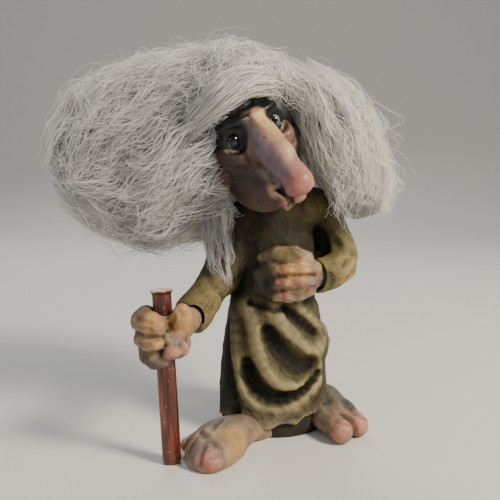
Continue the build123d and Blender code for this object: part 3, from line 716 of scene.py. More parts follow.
def sculpt_robe():
    made = sculpt(robe_field, (-50, -36, 0), (42, 30, 116), ROBE_STEP)
    verts = made[0]
    relief = robe_plain(verts)
    left, right = robe_arms(verts)
    left_share, right_share = step01(-left, -3, 1.5), step01(-right, -3, 1.5)
    # The cloth's nap hangs down the body, slants along the rolls at the front, and follows each arm
    front = step01(-verts[:, 1], 2, 12) * step01(-verts[:, 2], -62, -50)
    ways = np.tile(vec(0, 0, 1), (len(verts), 1)) + front[:, None] * vec(-0.75, 0, 0)
    ways /= np.linalg.norm(ways, axis=1)[:, None]
    grain = brushed(verts - vec(0, -15, 56), ways)
    for share, points in ((left_share, LEFT_ARM), (right_share, RIGHT_ARM)):
        grain += (brushed_along(verts, smooth_path(points, 30)) - grain) * share[:, None]
    made = toothed(made, 0.22, 2.4, 11, grain, 3)
    made = toothed(made, 0.26, 5.5, 17, None, 2)
    verts = made[0]
    _, large, dip = hollows(made, (3, 40), (4, 0.8))
    tone = fractal(verts, 14, 21, 3)
    patchy = fractal(grain, 3.2, 27, 3)
    relief_light_and_tone = relief / 2.4 - large * 0.5 + tone * 0.35 + patchy * 0.55
    arms = np.maximum(left_share, right_share)
    side, ahead, height = verts[:, 0], -verts[:, 1], verts[:, 2]
    coat = Coat(len(verts), "565036")
    coat.lay("69613F", step01(tone, -0.2, 0.5))
    skirt = step01(-height, -68, -58) * (1 - arms)
    strong = skirt * (0.45 + 0.55 * step01(ahead, -4, 8))
    # Painted highlight on the skirt's rolls, strongest at the front
    coat.lay("7C7252", skirt * step01(relief_light_and_tone, -0.1, 0.8) * 0.8)
    coat.lay("9C9270", strong * step01(relief_light_and_tone, 0.45, 1.4) * 0.8)
    # Grey and paler toward the hem, where the rolls run out to the viewer's right
    low = step01(-height, -24, -9) * step01(side, -14, 4) * step01(ahead, -2, 10) * (1 - arms)
    coat.lay("8A8068", low * step01(relief_light_and_tone, -0.6, 0.3) * 0.85)
    # Painted shade: near-black in the skirt's hollows, strongest at the front
    coat.lay("2A251B", strong * step01(-relief_light_and_tone, 0.15, 1.2) * 0.9)
    # Chest dark and brown, with painted shade under the chin and on the side that the wool shades, lighter
    # toward the viewer's right
    chest = step01(height, 60, 74) * (1 - arms)
    coat.lay("352E1A", chest * 0.9)
    coat.lay("52492A", chest * step01(patchy, 0.0, 0.6) * step01(side, -8, 12) * 0.6)
    coat.lay("6E6440", chest * step01(side, 8, 20) * step01(height, 92, 106) * 0.7)
    # Sleeves olive along their upper sides, ochre at the cuffs and at the left elbow, where the paler ochre is
    # a painted highlight; the right sleeve's upper outer side near-black with painted shade
    coat.lay("7C7048", left_share * step01(tone + patchy, -0.6, 0.5) * 0.9)
    # Painted highlight: paler ochre on the left elbow
    bend = np.exp(-((verts - vec(32, -10, 78)) ** 2).sum(1) / 150)
    coat.lay("A8996C", left_share * bend * 1.2)
    coat.lay("66603E", left_share * np.exp(-((verts - vec(27, -12, 86)) ** 2).sum(1) / 18) * 0.8)
    coat.lay("675F40", right_share * 0.85)
    # Painted shade: near-black along the right sleeve's upper outer side
    coat.lay("23231E", right_share * step01(-side - 0.9 * ahead + 0.55 * height, 52, 66) * 0.85)
    cuff = np.exp(-((verts - vec(-31.5, -26, 63)) ** 2).sum(1) / 100)
    coat.lay("9C8C62", right_share * cuff * 1.15)
    # Ochre patch over the right foot; painted shade, near-black blue, on the viewer's left
    shade = step01(-side, 3, 17) * step01(-ahead, -19, -6) * (1 - arms)
    coat.lay("1C1C1B", shade * 0.9 * step01(height, 4, 14))
    patch = np.exp(-(((verts - vec(-13, -24, 8.0)) / vec(6.5, 8, 2.8)) ** 2).sum(1))
    coat.lay("C0A66C", step01(patch + patchy * 0.15, 0.3, 0.7))
    # Painted shade: near-black in the gap round each wrist
    for middle, way in CUFFS:
        coat.lay("14110D", (1 - step01(cuff_bore(verts, middle, way), 0.5, 1.3)) * 0.95)
    mat = skin_material("robe_paint", 0.80, 0.60, 0.60, fibre_scale=620, tooth=0.20)
    obj = dress("robe_skin", made, mat, coat, dip, grain)
    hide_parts("robe", "left_sleeve", "right_sleeve")


# Head, in its own directions: ahead, to its left and up, from the middle between the eyes
HEAD_AHEAD = unit((0.47, -0.86, -0.20))
HEAD_UP = vec(-0.31, -0.373, 0.874)
HEAD_UP = unit(HEAD_UP - HEAD_UP @ HEAD_AHEAD * HEAD_AHEAD)
HEAD_LEFT = np.cross(HEAD_UP, HEAD_AHEAD)
HEAD_TURN = np.stack([HEAD_AHEAD, HEAD_LEFT, HEAD_UP])
EYES_MIDDLE = vec(-9.7, -28, 141.5)
EYE_SIDE, EYE_RADIUS = 10.4, 3.7
IRIS_RINGS = (1.0, 0.9, 0.8, 0.7, 0.6, 0.5, 0.4, 0.3, 0.2, 0.1)


def to_head(p):
    return (p - EYES_MIDDLE) @ HEAD_TURN.T


def from_head(q):
    return np.asarray(q, float) @ HEAD_TURN + EYES_MIDDLE


BROW = ((2.6, 2.5, 7.8), (3.4, 6.5, 7.8), (1.8, 10.5, 7.4), (-1.8, 13.5, 6.0))
NOSE = ((1.5, 0, 1.0), (6.6, 0, -2.3), (12.4, 0, -6.9), (17.4, 0, -11.1), (23.3, 0, -15.0), (28.4, 0, -18.4))
NOSE_RADII = (7.4, 7.7, 7.3, 6.5, 5.7, 5.7)
LOWER_LIP = ((18.2, -11.2, -19.0), (20.2, -10.0, -19.6), (22.2, -8.4, -20.4), (22.4, -6.4, -23.4),
             (17.8, -4.2, -29.8), (12.4, -1.6, -34.4), (10.6, 1.6, -34.8), (14.0, 4.4, -31.0),
             (17.6, 6.8, -25.4), (16.0, 8.8, -20.6), (12.0, 9.8, -18.0))
LIP_RADII = (0.9, 1.3, 1.5, 1.35, 1.25, 1.1, 1.1, 1.3, 1.3, 1.3, 0.9)
MOUTH = ((22.6, -8.4, -18.4), (24.4, -6.2, -21.6), (24.2, -4.6, -24.4), (19.6, -2.6, -30.9),
         (12.4, 0.6, -37.2), (17.0, 3.6, -32.6), (22.0, 6.6, -25.6), (21.6, 9.6, -19.6))
MOUTH_RADII = (0.3, 0.7, 1.2, 1.3, 1.0, 1.0, 0.9, 0.5)


def arc(middle, reach, across, down, turns):
    """Points on an arc round a middle, its turn measured from the way across towards the way down."""
    return middle + reach * (np.cos(turns)[:, None] * across + np.sin(turns)[:, None] * down)


def head_plain(p):
    """The head without its wrinkles."""
    q = to_head(p)
    d = blob(q, (-20, 0, 4), (20.5, 20, 22.5))
    d = soft_min(d, blob(q, (-8, 0, -3), (12.5, 16.0, 14.5)), 6)
    d = soft_min(d, blob(q, (-4.5, 0, -21.5), (18.5, 16.8, 18.0)), 6)
    fuse(q, d, (9.5, 0, -23.0), (12.0, 11.2, 10.5), 5)
    for side in (-1, 1):
        fuse(q, d, (0.0, side * 11.5, -8.0), (8.6, 6.4, 8.4), 6)
        fuse(q, d, (-5.2, side * 17.4, -14.8), (4.4, 3.2, 5.0), 3)
        brow = [(f, side * out, up) for f, out, up in BROW]
        join(q, d, smooth_path(brow, 8), np.linspace(2.4, 1.7, 8), 3.4)
        # Socket, then the lower and the upper lid round the glass
        fuse(q, d, (3.4, side * 10.8, 0.6), (6.4, 5.7, 5.4), 2.2, cut=True)
        eye = vec(-0.2, side * EYE_SIDE, 0)
        lower = arc(eye, 4.3, vec(-0.35, side * 0.90, -0.1), vec(0.42, 0.1 * side, -0.86),
                    np.linspace(-0.2, 3.1, 9))
        join(q, d, lower + vec(1.4, side * -0.2, 0.2), 0.75, 0.9)
        upper = arc(eye, 4.6, vec(-0.28, side * 0.90, -0.05), vec(-0.05, 0, 0.95), np.linspace(-0.2, 3.3, 9))
        join(q, d, upper + vec(1.8, 0, 0.6), 1.2, 1.4)
    join(q, d, smooth_path(NOSE, 11), drawn_out(NOSE_RADII, 11), 3)
    fuse(q, d, (18.6, 1.4, -7.2), (4.6, 4.2, 3.9), 3)
    for side in (-1, 1):
        fuse(q, d, (25.4, side * 3.8, -21.2), (3.4, 2.6, 2.5), 2.2)
        fuse(q, d, (27.6, side * 2.6, -24.9), (1.3, 0.9, 1.2), 1.2, cut=True)
    # Mouth: a slit that runs down to the chin from under the nose, the upper lip a pink lump in front of it
    count = 2 * len(LOWER_LIP) - 1
    join(q, d, smooth_path(LOWER_LIP, count), drawn_out(LIP_RADII, count), 1.6)
    fuse(q, d, (20.6, 0.4, -25.8), (5.2, 4.6, 4.4), 2.0)
    count = 2 * len(MOUTH) - 1
    join(q, d, smooth_path(MOUTH, count), drawn_out(MOUTH_RADII, count), 0.9, cut=True)
    # Two pits in the skin of the nose
    fuse(q, d, (14.6, -3.0, 0.8), (0.6, 0.6, 0.5), 0.5, cut=True)
    fuse(q, d, (34.2, 1.6, -15.6), (0.5, 0.6, 0.5), 0.5, cut=True)
    neck = rod(p, from_head((-20, 0, -22)), (-1, 0, 108), 9.5, 8.3)
    return soft_min(d, neck, 4)


# Wrinkles of the brow, at the outer ends of the eyes, beside the nose and round the corners of the mouth
WRINKLES = [(((4, -12, up), (8, 0, up + 1.6), (4, 12, up)), *FINE) for up in (12.6, 15.8, 19.0)]
for side in (-1, 1):
    WRINKLES += [([(f, side * out, up) for f, out, up in line], radius, k) for line, radius, k in (
        (((18.8, 12.6, -15.6), (17.4, 13.4, -19.0), (18.6, 12.0, -22.6)), *FINE),
        (((20.6, 11.4, -16.6), (19.2, 12.2, -20.0), (20.6, 10.4, -23.4)), *FINE),
        (((17.6, 12.6, -21.6), (19.6, 10.8, -22.6), (21.6, 9.0, -22.4)), *FINE),
        (((18.0, 12.2, -17.4), (20.6, 10.8, -18.4), (22.6, 9.0, -18.6)), *FINE),
        (((-8.0, 17.2, -1.0), (-11.0, 18.4, -3.5), (-15.0, 18.6, -4.5)), *FINE),
        (((-8.6, 17.2, -4.0), (-11.6, 18.2, -7.5), (-15.0, 18.4, -10.0)), *FINE),
        (((12.0, 9.4, -10.0), (17.0, 9.0, -14.6), (21.0, 8.0, -18.2)), 0.62, 2.0),
        (((2.0, 16.4, -8.0), (6.0, 14.6, -9.4), (9.4, 12.4, -10.4)), *FINE))]
WRINKLES = creases(head_plain, [(from_head(line), radius, k) for line, radius, k in WRINKLES])


def head_field(p):
    return press(p, head_plain(p), WRINKLES)


def glow(q, points, core, edge):
    """1 within core mm of a line in the head's own directions, 0 beyond edge mm."""
    points = np.asarray(points, float)
    if len(points) == 1:
        points = np.concatenate([points, points + 0.01])
    return 1 - step01(chain(q, points, 0), core, edge)


def sculpt_head():
    made = toothed(sculpt(head_field, (-48, -62, 98), (22, 20, 174), HEAD_STEP), 0.15, 2.2, 5)
    verts = made[0]
    q = to_head(verts)
    dip = hollows(made, (3, 25), (5, 0.3))[2]
    tone = fractal(verts, 6, 31, 3)
    f, left, up = q.T
    coat = Coat(len(verts), "50403A")
    coat.lay("60463C", step01(tone, -0.2, 0.5) * 0.7)
    # Jaw and lower cheeks paler, olive under the eye, brown brow
    coat.lay("86726A", step01(-up, 22, 35) * 0.85)
    coat.lay("A58E82", step01(-up, 33, 39) * 0.7)
    coat.lay("352422", glow(q, [(9, -13, -14), (1, -16, -19)], 4, 10) * 0.8)
    coat.lay("9A7A6C", glow(q, [(9, 14, -8), (6, 15, -3)], 3, 8) * 0.7)
    for s in (-1, 1):
        coat.lay("6E4636", glow(q, [(-5, s * 20.5, -14.6)], 2, 6.5) * 0.9)
    coat.lay("57493A", glow(q, [(6, -9, -6), (10, -8, -11)], 2.5, 6.5) * 0.8)
    coat.lay("33241C", step01(up, 6, 10))
    coat.lay("14161C", glow(q, [(1, 3.5, 11.5), (-2, 8.0, 12.5)], 3.5, 6.5) * (0.8 + 0.5 * tone))
    nose = step01(f, 5, 12) * (1 - step01(np.abs(left), 7.5, 10.5)) * step01(up + 0.62 * f, -9, -5)
    coat.lay("C49A8C", nose)
    # Near side of the nose grey-lilac and olive-brown, partly painted shade
    side = step01(-left, 0.4, 4.2) * nose
    coat.lay("847280", side * 0.85 * (1 - step01(f, 27, 32)))
    coat.lay("5C5240", nose * step01(-left, -1.5, 2.5) * step01(-f, -17, -7) * 0.9)
    # Painted highlight: cream along the nose bridge
    bridge_highlight = glow(q, [(6.0, 2.2, 7.4), (12.5, 3.4, 1.8), (18, 4.2, -3.0), (21, 3.8, -7)], 2.0, 4.6)
    coat.lay("E6C08C", bridge_highlight * step01(tone, -0.9, 0.0) * (1 - 0.5 * step01(f, 14, 21)))
    coat.lay("CC8A7A", glow(q, [(31, 0, -18)], 4.0, 9.0) * 0.85)
    coat.lay("8C3F36", glow(q, [(27.5, -1.5, -24.0), (27.5, 1.5, -24.0)], 1.2, 3.8) * 0.9)
    for s in (-1, 1):
        patch = glow(q, [(2.0, s * 9.6, 0.5), (1.5, s * 10.6, 5.5), (-3, s * 12.5, 3)], 5.6, 7.8)
        coat.lay("0E1116", np.clip(patch * (1.05 + tone * 0.25), 0, 1))
        lid_middle = vec(1.2, s * (EYE_SIDE - 0.2), 0.2)
        lid = arc(lid_middle, 5.2, vec(-0.35, s * 0.90, -0.1), vec(0.42, s * 0.1, -0.86),
                  np.linspace(0.1, 1.5, 7))
        coat.lay("D2B898", glow(q, lid, 0.35, 1.0))
        pouch = glow(q, [(19.4, s * 10.4, -19.6), (20.2, s * 9.4, -22.5)], 2.8, 5.2)
        coat.lay("CDAE88", pouch * step01(tone, -1.0, -0.1))
    coat.lay("B89484", glow(q, LOWER_LIP[2:6], 1.7, 2.8))
    coat.lay("C28E80", glow(q, [(24.5, -2, -27.0), (24.5, 2, -27.0)], 3.0, 5.2))
    # Painted shade: near-black in the mouth slit
    coat.lay("180E0C", glow(q, smooth_path(MOUTH, 13), 0.9, 1.7))
    mat = skin_material("face_paint", 0.50, 0.22, 0.35, coat=0.12, tooth=0.07)
    obj = dress("head_skin", made, mat, coat, dip)
    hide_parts("head")


# Glass eyes: a clear dome over a painted, hollowed iris
def eye_materials():
    n = Nodes("eye_iris_paint")
    q = n.attr("iris", "Vector")
    split = n.add("SeparateXYZ", {0: q})
    reach, turn = split.outputs[0], split.outputs[1]
    drawn = {0: n.math("MULTIPLY", reach, 1.4), 1: n.math("MULTIPLY", turn, 9.0)}
    streak = n.noise(n.add("CombineXYZ", drawn).outputs[0], 2.4, 3)
    bent = n.math("ADD", reach, n.span(streak, 0.3, 0.7, -0.05, 0.05))
    ring = n.ramp(bent, [(0.0, "020202"), (0.40, "030303"), (0.46, "3C3A20"), (0.62, "2A2A18"),
                         (0.80, "17180F"), (0.92, "35322A"), (1.0, "080806")])
    colour = n.mix(n.span(streak, 0.45, 0.75), ring, n.mix(0.4, ring, rgb("4A4424"), "SCREEN"))
    colour = n.mix(n.span(reach, 0.44, 0.40), colour, rgb("020202"))
    n.plug(n.shader.inputs["Specular IOR Level"], 0.1)
    iris = n.finish(Base_Color=colour, Roughness=0.6)
    n = Nodes("eye_clear_glass")
    scratch = n.noise(n.coords(), 900, 3)
    clear = n.mix(n.span(scratch, 0.4, 0.8), rgb("FFFFFF"), rgb("F2F4F0"))
    glass = n.finish(Base_Color=clear, Transmission_Weight=1.0, IOR=1.45,
                     Roughness=n.span(scratch, 0.3, 0.9, 0.01, 0.05))
    return iris, glass


def dish(profile, around=48):
    """Closed surface of revolution: profile gives the reach from the axis and the height for each ring."""
    verts = [(0, 0, profile[0][1])]
    for reach, height in profile[1:-1]:
        verts += [(reach * math.cos(a), reach * math.sin(a), height)
                  for a in np.linspace(0, 2 * math.pi, around, endpoint=False)]
    verts.append((0, 0, profile[-1][1]))
    faces, n = [], len(profile) - 2
    for i in range(around):
        j = (i + 1) % around
        faces.append((0, 1 + i, 1 + j))
        for k in range(n - 1):
            a, b = 1 + k * around, 1 + (k + 1) * around
            faces.append((a + i, b + i, b + j, a + j))
        faces.append((len(verts) - 1, 1 + (n - 1) * around + j, 1 + (n - 1) * around + i))
    return np.array(verts), faces


def make_eyes():
    iris_mat, glass_mat = eye_materials()
    for name, side, looks in (("right", -1, (0.72, -0.42, 0.55)), ("left", 1, (0.74, 0.22, 0.55))):
        way = unit(np.array(looks) @ HEAD_TURN)
        across = unit(np.cross(way, vec(0, 0, 1)))
        turn = np.stack([across, np.cross(way, across), way])
        centre = from_head((-0.2, side * EYE_SIDE, 0))
        r = EYE_RADIUS
        dome = [(0, -0.25 * r)] + [(r * 0.955 * k, -0.25 * r - 0.02) for k in (0.4, 0.8, 0.97)]
        dome += [(r * math.cos(a), r * math.sin(a)) for a in np.linspace(-0.20, 1.50, 16)] + [(0, r)]
        verts, faces = dish(dome)
        obj = new_object(name + "_eye_glass", verts @ turn + centre, faces, glass_mat)
        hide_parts(name + "_eye_lens")
        iris = [(0, -0.55 * r), (r * 0.5, -0.55 * r), (r * 0.88, -0.50 * r), (r * 0.93, -0.36 * r)]
        iris += [(r * 0.93 * k, (-0.30 - 0.12 * (1 - k)) * r) for k in IRIS_RINGS] + [(0, -0.42 * r)]
        verts, faces = dish(iris)
        obj = new_object(name + "_eye_iris", verts @ turn + centre, faces, iris_mat)
        reach = np.hypot(verts[:, 0], verts[:, 1]) / (0.93 * r)
        place = np.stack([reach, np.abs(np.arctan2(verts[:, 1], verts[:, 0])), 0 * reach], 1)
        spots = obj.data.attributes.new("iris", "FLOAT_VECTOR", "POINT").data
        spots.foreach_set("vector", place.astype(np.float32).ravel())
        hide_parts(name + "_eye_backing")


# Hands and feet
STICK_FOOT, STICK_WAY = vec(-44.4, -45.5, 0.19), unit((-0.0471, 0, 0.9989))
STICK_LENGTH, STICK_RADIUS, BORE_RADIUS = 74.9, 3.86, 4.4 + 0.12
END_SUNK = 0.55                   # how far the stick's end grain lies below its torn rim
FIST_MIDDLE = vec(-47.1, -45.5, 57.0)


def stick_at(height):
    return STICK_FOOT + STICK_WAY * (height / STICK_WAY[2])


def fist_plain(p):
    """Fist closed round the stick: fingers in three lobes, a slit, the thumb's egg, the heel of the hand."""
    q = p - FIST_MIDDLE
    d = blob(q, (-0.5, 0.2, -1.0), (8.4, 8.8, 10.9))
    wrist = ((-35.4, -28.5, 61.6), (-38.0, -34, 60.0), (-41.0, -40, 59.0))
    d = soft_min(d, chain(p, wrist, (5.2, 5.6, 7.0)), 3)
    for points, radii, k in (
            (((-7.6, 2, 6.6), (-7.8, -4.5, 5.8), (-4, -8.4, 5.4), (-1.0, -9.8, 4.4)),
             (4.6, 5.0, 4.9, 3.6), 2.2),
            (((-8.4, 2.5, -1.2), (-7.6, -3.5, -2.2), (-4.4, -8.6, -2.6), (-1.8, -9.9, -2.6)),
             (4.2, 4.2, 3.8, 3.1), 2.0),
            (((-6.8, 2, -7), (-5.8, -3, -8.8), (-3, -6.6, -10.0), (0.4, -7.4, -10.0)),
             (4.1, 4.1, 3.7, 3.2), 2.2),
            (((7.4, -1.5, -4.6), (7, -6, -5.4), (5, -9.4, -6.0)), (4.3, 4.1, 3.0), 2.2)):
        d = soft_min(d, chain(q, points, radii, 1.0), k)
    fuse(q, d, (8.2, -4.6, 6.2), (4.5, 5.0, 7.0), 2.6)
    fuse(q, d, (4.8, -9.6, -6.0), (3.3, 2.5, 2.5), 1.8)
    fuse(q, d, (5.4, -8.2, -0.4), (3.9, 3.2, 3.0), 2.2)
    # Slit between finger tips and palm, a wedge under the thumb
    for points, radii, k in (
            (((3.8, -11.5, 5.4), (2.2, -12.8, 2.6), (1.1, -13.4, -1), (1.0, -12.6, -5.6)),
             (1.3, 1.5, 1.0, 0.9), 0.9),
            (((1.6, -13.0, -3.4), (4.2, -12.4, -2.8), (7.2, -11.0, -3.0)), (0.5, 0.8, 0.4), 0.5)):
        count = 2 * len(points) - 1
        join(q, d, smooth_path(points, count), drawn_out(radii, count), k, cut=True)
    return d


FIST_FOLDS = creases(lambda q: fist_plain(q + FIST_MIDDLE), (
    (((-11.8, -3, 2.4), (-8.2, -9.4, 1.4), (-3.4, -13.2, 0.8), (0, -13.6, 0.4)), *FINE),
    (((-11.2, -3, -4.4), (-7.6, -8.6, -5.8), (-3.0, -11.8, -6.4), (0, -12.2, -6.2)), *FINE),
    (((4.2, -10.6, 10.6), (4.6, -11.2, 5.2), (6.4, -11.4, 0.6), (10.6, -8.4, -0.8)), *FINE),
    (((-10.4, -9.0, 8.4), (-6.6, -12.4, 7.4), (-3.0, -13.6, 7.0)), *FINE),
    (((-9.4, -9.0, 4.4), (-6.0, -12.4, 4.6), (-3.4, -13.6, 3.8)), *FINE),
    (((-9.8, -8.0, -1.6), (-7.0, -11.4, -2.4), (-4.4, -12.6, -1.8)), *FINE),
    (((7.8, -9.6, -3.2), (8.6, -8.8, -5.4), (8.0, -9.0, -8.4)), *FINE),
    (((4.6, -11.8, -8.2), (7.2, -10.2, -9.4), (9.8, -6.2, -9.4)), *FINE),
    (((3.6, -12.4, 1.4), (5.2, -12.6, 0.2), (8.2, -10.6, 1.0)), *FINE),
    (((7.0, -9.8, 12.0), (9.0, -9.8, 10.4), (11.4, -7.0, 10.0)), *FINE),
    (((11.4, -6.0, -1.6), (11.8, -3.4, -4.0), (11.0, -2.0, -7.4)), *FINE)))
FIST_FOLDS = [(path + FIST_MIDDLE, radii, k) for path, radii, k in FIST_FOLDS]


def fist_field(p):
    d = press(p, fist_plain(p), FIST_FOLDS)
    return soft_cut(d, rod(p, stick_at(36), stick_at(80), BORE_RADIUS, BORE_RADIUS), 0.5)


def belly_hand_plain(p):
    """Left hand laid on the belly: three short wedge-shaped fingers under a fold of the sleeve."""
    d = blob(p, (8.0, -20.5, 78.0), (11.6, 6.0, 10.6))
    d = soft_min(d, chain(p, ((21.5, -17.0, 76.6), (16, -19.6, 76.8)), (5.2, 6.2)), 2)
    for points, radii, k in (
            (((18.0, -22.4, 80.8), (12.0, -25.4, 81.4), (6.0, -26.4, 81.2), (1.8, -25.6, 80.8)),
             (3.6, 3.9, 3.6, 2.5), 1.4),
            (((17.4, -22.8, 74.8), (11.6, -25.8, 75.0), (6.0, -26.2, 74.9), (2.2, -25.4, 74.8)),
             (3.4, 3.6, 3.2, 2.2), 1.4),
            (((16.0, -21.6, 70.9), (11.0, -24.2, 69.6), (6.6, -24.8, 68.6), (3.4, -24.2, 68.2)),
             (3.0, 3.4, 3.0, 2.2), 1.4),
            (((15.2, -20.8, 86.0), (9.0, -21.8, 88.0), (1.0, -22.0, 87.6), (-5.0, -19.8, 85.0)),
             (2.4, 3.0, 3.2, 2.8), 2.6),
            (((-1.0, -21.6, 81.0), (-6.4, -18.6, 77.5), (-5.4, -19.0, 71.5), (0.4, -21.2, 67.6)),
             (2.8, 3.4, 3.2, 2.4), 3.0)):
        d = soft_min(d, chain(p, points, radii, 1.0), k)
    return d


HAND_FOLDS = creases(belly_hand_plain, (
    (((18.5, -26.5, 78.0), (11, -29.6, 78.3), (4, -29.6, 77.9), (-0.5, -28.6, 77.7)), *FINE),
    (((17.5, -26.5, 72.4), (11, -28.8, 72.2), (4, -28.8, 71.7), (0.0, -27.6, 71.5)), *FINE),
    (((17.5, -25.2, 84.2), (10, -27.4, 85.2), (3, -27.4, 85.0), (-2.4, -25.4, 83.8)), *FINE),
    (((17.5, -27.6, 83.0), (13.5, -29.4, 81.8), (8.5, -30.0, 80.8)), *FINE),
    (((13.8, -28.8, 83.6), (11.0, -29.6, 82.6), (5.0, -29.9, 82.6)), *FINE),
    (((16.5, -28.0, 76.4), (12.0, -29.4, 75.2), (7.4, -29.6, 76.2)), *FINE),
    (((14.5, -28.0, 74.0), (10.0, -29.4, 73.8), (6.4, -29.6, 74.6)), *FINE),
    (((14.0, -25.0, 70.2), (10.5, -27.4, 69.0), (7.0, -27.6, 69.6)), *FINE),
    (((13.5, -25.2, 88.4), (7.0, -25.4, 90.0), (1.0, -25.2, 88.6)), *FINE),
    (((11.5, -25.2, 86.4), (6.0, -25.4, 87.6), (0.0, -25.2, 86.8)), *FINE)))


def belly_hand_field(p):
    return press(p, belly_hand_plain(p), HAND_FOLDS)


FOOT_ANGLE = 0.36
RIGHT_FOOT_TURN = np.array([[math.cos(FOOT_ANGLE), -math.sin(FOOT_ANGLE), 0],
                            [math.sin(FOOT_ANGLE), math.cos(FOOT_ANGLE), 0], [0, 0, 1]])


def right_foot_plain(p):
    """Broad flat paw, its small toes folded along the side next to the stick."""
    d = blob(p, (-25.2, -36.6, 3.4), (12.2, 20.5, 10.6), RIGHT_FOOT_TURN)
    heel = ((-0.5, -16.5, 1.6), (-8, -20.5, 4.4), (-15, -26, 6.4), (-20, -31, 7.0))
    d = soft_min(d, chain(p, heel, (3.0, 4.6, 6.4, 7.0), 3), 3.5)
    join(p, d, ((-21.5, -44, 5.0), (-26.8, -53.6, 4.7)), (5.6, 4.9), 3)
    toes = (((-28.5, -43, 5.2), (-31.4, -50.6, 4.4), 4.0), ((-31.6, -38, 5.2), (-35.2, -44.6, 4.2), 3.8),
            ((-34.5, -33, 5.0), (-38.4, -37.4, 4.4), 3.4))
    for a, b, r in toes:
        join(p, d, (a, b), (r, r * 0.95), 1.5)
    return d


# Folds between the toes, then fine ones over the knuckles and the instep
FOOT_FOLDS = creases(right_foot_plain, (
    (((-28.6, -45.6, 12.4), (-29.8, -51.6, 8.6), (-31.4, -57.0, 4.0)), 0.62, 2.0),
    (((-32.0, -40.4, 12.4), (-33.8, -46.0, 8.4), (-36.0, -50.6, 4.0)), 0.62, 1.8),
    (((-35.4, -34.0, 11.8), (-37.6, -39.6, 7.8), (-39.6, -43.6, 4.0)), 0.62, 1.8),
    (((-22.4, -52.6, 9.4), (-26.2, -50.8, 11.0), (-29.6, -47.0, 11.2)), *FINE),
    (((-29.4, -46.0, 12.4), (-31.0, -45.0, 11.4), (-32.4, -41.6, 11.6)), *FINE),
    (((-27.4, -57.2, 7.6), (-24.4, -56.4, 8.0), (-21.4, -53.4, 7.6)), *FINE),
    (((-22.6, -30.0, 14.0), (-25.4, -36.6, 14.6), (-26.8, -43.0, 12.6)), *FINE)))


def right_foot_field(p):
    return soft_cut(press(p, right_foot_plain(p), FOOT_FOLDS), p[:, 2] - 0.02, 0.6)


def left_foot_plain(p):
    """High instep running down from under the robe into two long toes."""
    d = chain(p, ((17, 6, 7), (26, -1, 10.4), (33, -9.4, 8.0), (39.6, -17.5, 5.4)), (8, 8.6, 7.0, 5.4), 2)
    d = soft_min(d, chain(p, ((20, -2, 8), (26, -14, 7.2), (31, -25.4, 5.4)), (7.5, 6.3, 5.4), 2), 2.6)
    join(p, d, ((24, -3, 6), (30, -12, 4)), (6.5, 5.0), 4)
    return d


# Deep fold between the toes, soft dents over the knuckles, fine folds by the nails and on the instep
TOE_FOLDS = creases(left_foot_plain, (
    (((29.6, -14.5, 15.6), (32.8, -19.0, 10.6), (35.6, -22.6, 6.2), (37.0, -24.6, 3.0)), 1.0, 1.8),
    (((33.2, -9.6, 16.2), (35.6, -14.4, 13.6), (38.0, -17.6, 11.2)), 1.1, 3.0),
    (((24.6, -8.0, 17.4), (26.8, -14.6, 14.4), (28.6, -19.6, 12.4)), 0.9, 3.0),
    (((27.4, -25.4, 10.6), (31.2, -27.4, 11.0), (34.6, -26.4, 9.4)), *FINE),
    (((38.4, -17.4, 11.0), (41.6, -19.4, 10.4), (44.4, -18.0, 8.6)), *FINE),
    (((22.0, -7.0, 18.0), (24.0, -12.6, 15.0), (26.0, -18.6, 11.8)), *FINE)))


def left_foot_field(p):
    return soft_cut(press(p, left_foot_plain(p), TOE_FOLDS), p[:, 2] - 0.02, 0.6)


def flat_sole(made):
    verts, quads, normals, pairs = made
    verts = verts.copy()
    verts[:, 2] = np.maximum(verts[:, 2], 0.0)
    return verts, quads, normals, pairs


